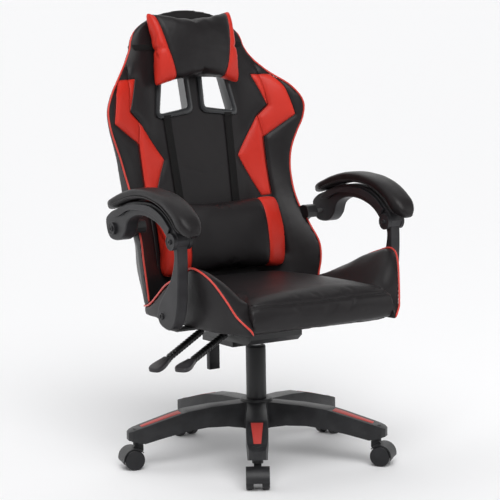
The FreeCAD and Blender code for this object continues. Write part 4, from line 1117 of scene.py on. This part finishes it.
# Recline hinge's cheek on the seat, and the tab on the back that takes the arm's rear bolt
CHEEK_SIDE = [(34, 368), (80, 366), (130, 378), (178, 394), (196, 402), (198, 414), (186, 420), (166, 414),
              (120, 398), (50, 384)]
REAR_TAB = [(110, 588), (116, 602), (130, 606), (160, 598), (186, 590), (188, 562), (166, 560), (130, 574),
            (114, 576)]
# Arm post and link in side view: (back, up) going round
POST_SIDE = [
    (-170, 578), (-171, 535), (-168, 480), (-165, 440), (-157, 408), (-144, 384), (-128, 373), (-104, 374),
    (-80, 384),
    (-71, 402), (-80, 428), (-100, 453), (-120, 474), (-137, 498), (-148, 524), (-153, 552), (-151, 580),
    (-160, 586),
]
LINK_SIDE = [
    (-176, 588), (-170, 603), (-150, 622), (-118, 646), (-70, 664), (-10, 667), (50, 660), (106, 641),
    (146, 626), (163, 612),
    (161, 588), (147, 567), (120, 562), (92, 567), (70, 586), (58, 612), (30, 628), (-10, 634), (-60, 628),
    (-104, 610),
    (-132, 584), (-143, 570), (-156, 566), (-170, 573),
]
LINK_RIDGE = [
    (-150, 616), (-118, 640), (-70, 658), (-10, 661), (50, 654), (102, 637), (122, 622), (100, 622),
    (50, 640), (-10, 647),
    (-66, 642), (-112, 622), (-140, 600),
]


def arms():
    """Post, arched link with a raised ridge on each side, pivot bosses and bolts of both arms."""
    dark, satin = BY_SLOT["steel_black"], BY_SLOT["plastic_black"]
    for side, hand in ((1, "left"), (-1, "right")):
        middle = side * ARM_X
        body = f"{hand}_arm"
        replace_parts(plate(f"{hand}_arm_post", POST_SIDE, middle - POST_HALF, middle + POST_HALF, 3, satin,
                          f"{hand}_post"), f"{hand}_post")
        disc(f"{hand}_post_barrel", (middle, *ARM_PIVOT), 19, 30.6, f"{hand}_post", satin)
        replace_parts(plate(f"{hand}_arm_link", LINK_SIDE, middle - LINK_HALF, middle + LINK_HALF, 3, satin,
                          body), f"{hand}_link")
        for face, way in (("outer", side), ("inner", -side)):
            outer, inner = sorted((middle + way * 15, middle + way * 24))
            plate(f"{hand}_link_ridge_{face}", LINK_RIDGE, outer, inner, 3, satin, body)
            disc(f"{hand}_pivot_boss_{face}", (middle + way * 20.5, *ARM_PIVOT), 20, 9, body, satin)
            last = bolt(f"{hand}_pivot_bolt_{face}", (middle + way * 25, *ARM_PIVOT), way, 6, body, satin)
        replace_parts(last, f"{hand}_pins")
        disc(f"{hand}_rear_pin", (side * 281, *REAR_PIVOT), 5, 24, body, BY_SLOT["steel_bright"])
        disc(f"{hand}_rear_boss", (middle + side * 19, *REAR_PIVOT), 15, 9, body, satin)
        bolt(f"{hand}_rear_bolt", (middle + side * 23, *REAR_PIVOT), side, 7, body, satin)
        low, high = sorted((side * 170, side * 175))
        cheek = plate(f"{hand}_hinge_cheek", CHEEK_SIDE, low, high, 1, dark, "seat")
        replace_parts(cheek, f"seat_bracket_{hand}")
        low, high = sorted((side * 240, side * 271))
        tab = plate(f"{hand}_rear_tab", REAR_TAB, low, high, 1.5, dark, "back")
        if side > 0:
            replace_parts(tab, "back_hinge_plates")
        low, high = sorted((side * 98, side * 289))
        arm_strap(f"{hand}_arm_strap", low, high)
        post_bolt = bolt(f"{hand}_post_bolt", (middle + side * 15, *POST_PIVOT), side, 8, f"{hand}_post",
                         satin)
        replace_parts(post_bolt, f"{hand}_post_pin")


# ---------------------------------------------------------------------------------------------
# Camera, light and floor
# ---------------------------------------------------------------------------------------------
def camera():
    """A long lens on the sitter's right, in front of the chair and a little above it."""
    level = math.cos(CAMERA_RISE)
    back = Vector((math.sin(CAMERA_TURN) * level, -math.cos(CAMERA_TURN) * level, math.sin(CAMERA_RISE)))
    right = Vector((math.cos(CAMERA_TURN), math.sin(CAMERA_TURN), 0))
    target = right * CAMERA_SHIFT + Vector((0, 0, CAMERA_HEIGHT))
    data = bpy.data.cameras.new("camera")
    data.lens, data.sensor_width = CAMERA_LENS, CAMERA_SENSOR
    data.clip_end = 2000
    eye = bpy.data.objects.new("camera", data)
    turn = Matrix((right, back.cross(right), back)).transposed()
    eye.matrix_world = (Matrix.Translation(target + back * CAMERA_AWAY) @ turn.to_4x4()
                        @ Matrix.Rotation(-CAMERA_ROLL, 4, "Z"))
    bpy.context.scene.collection.objects.link(eye)
    bpy.context.scene.camera = eye


def lamp(name, kind, spot, target, power, **settings):
    """A lamp that faces a target."""
    data = bpy.data.lights.new(name, kind)
    data.energy = power
    for key, setting in settings.items():
        setattr(data, key, setting)
    made = bpy.data.objects.new(name, data)
    way = Vector(spot) - Vector(target)
    made.matrix_world = Matrix.Translation(Vector(spot)) @ way.to_track_quat("Z", "Y").to_matrix().to_4x4()
    bpy.context.scene.collection.objects.link(made)


def surroundings():
    """Surroundings that are bright behind the chair and dim in front of it."""
    world = bpy.data.worlds.new("studio")
    bpy.context.scene.world = world
    world.use_nodes = True
    tree = world.node_tree
    way = tree.nodes.new("ShaderNodeTexCoord")
    split = tree.nodes.new("ShaderNodeSeparateXYZ")
    ramp = tree.nodes.new("ShaderNodeMapRange")
    ramp.inputs["From Min"].default_value, ramp.inputs["From Max"].default_value = -0.1, 0.5
    ramp.inputs["To Min"].default_value, ramp.inputs["To Max"].default_value = 0.12, 1.0
    tree.links.new(way.outputs["Generated"], split.inputs[0])
    tree.links.new(split.outputs["Y"], ramp.inputs["Value"])
    tree.links.new(ramp.outputs[0], tree.nodes["Background"].inputs["Strength"])
    tree.nodes["Background"].inputs["Color"].default_value = (1, 1, 1, 1)


def studio():
    """Wide pale floor, a soft overhead key lamp and a weak side lamp."""
    bpy.ops.mesh.primitive_plane_add(size=1500, location=(0, 0, 0))
    floor = bpy.context.active_object
    floor.name = "floor"
    pale = Finish("floor_paint", "board")
    pale.set(Base_Color=(0.93, 0.93, 0.94), Roughness=0.9, Specular_IOR_Level=0.1)
    floor.data.materials.append(pale.material)
    surroundings()
    lamp("key", "SUN", (-0.9, -1.9, 2.6), (0, 0, 0), 2.3, angle=math.radians(48))
    lamp("side", "AREA", (2.6, -2.4, 1.7), (0, 0, 0.6), 14, size=1.4)
    bpy.context.scene.view_settings.view_transform = "Standard"


camera()
studio()
carry_over()
backrest()
back_piping()
opening_liners()
lumbar_straps()
head_band()
head_pillow()
lumbar_pillow()
seat_cushion()
for side, hand in ((1, "left"), (-1, "right")):
    seat_bolster(side, hand)
    arm_pad(side, hand)
levers()
arms()
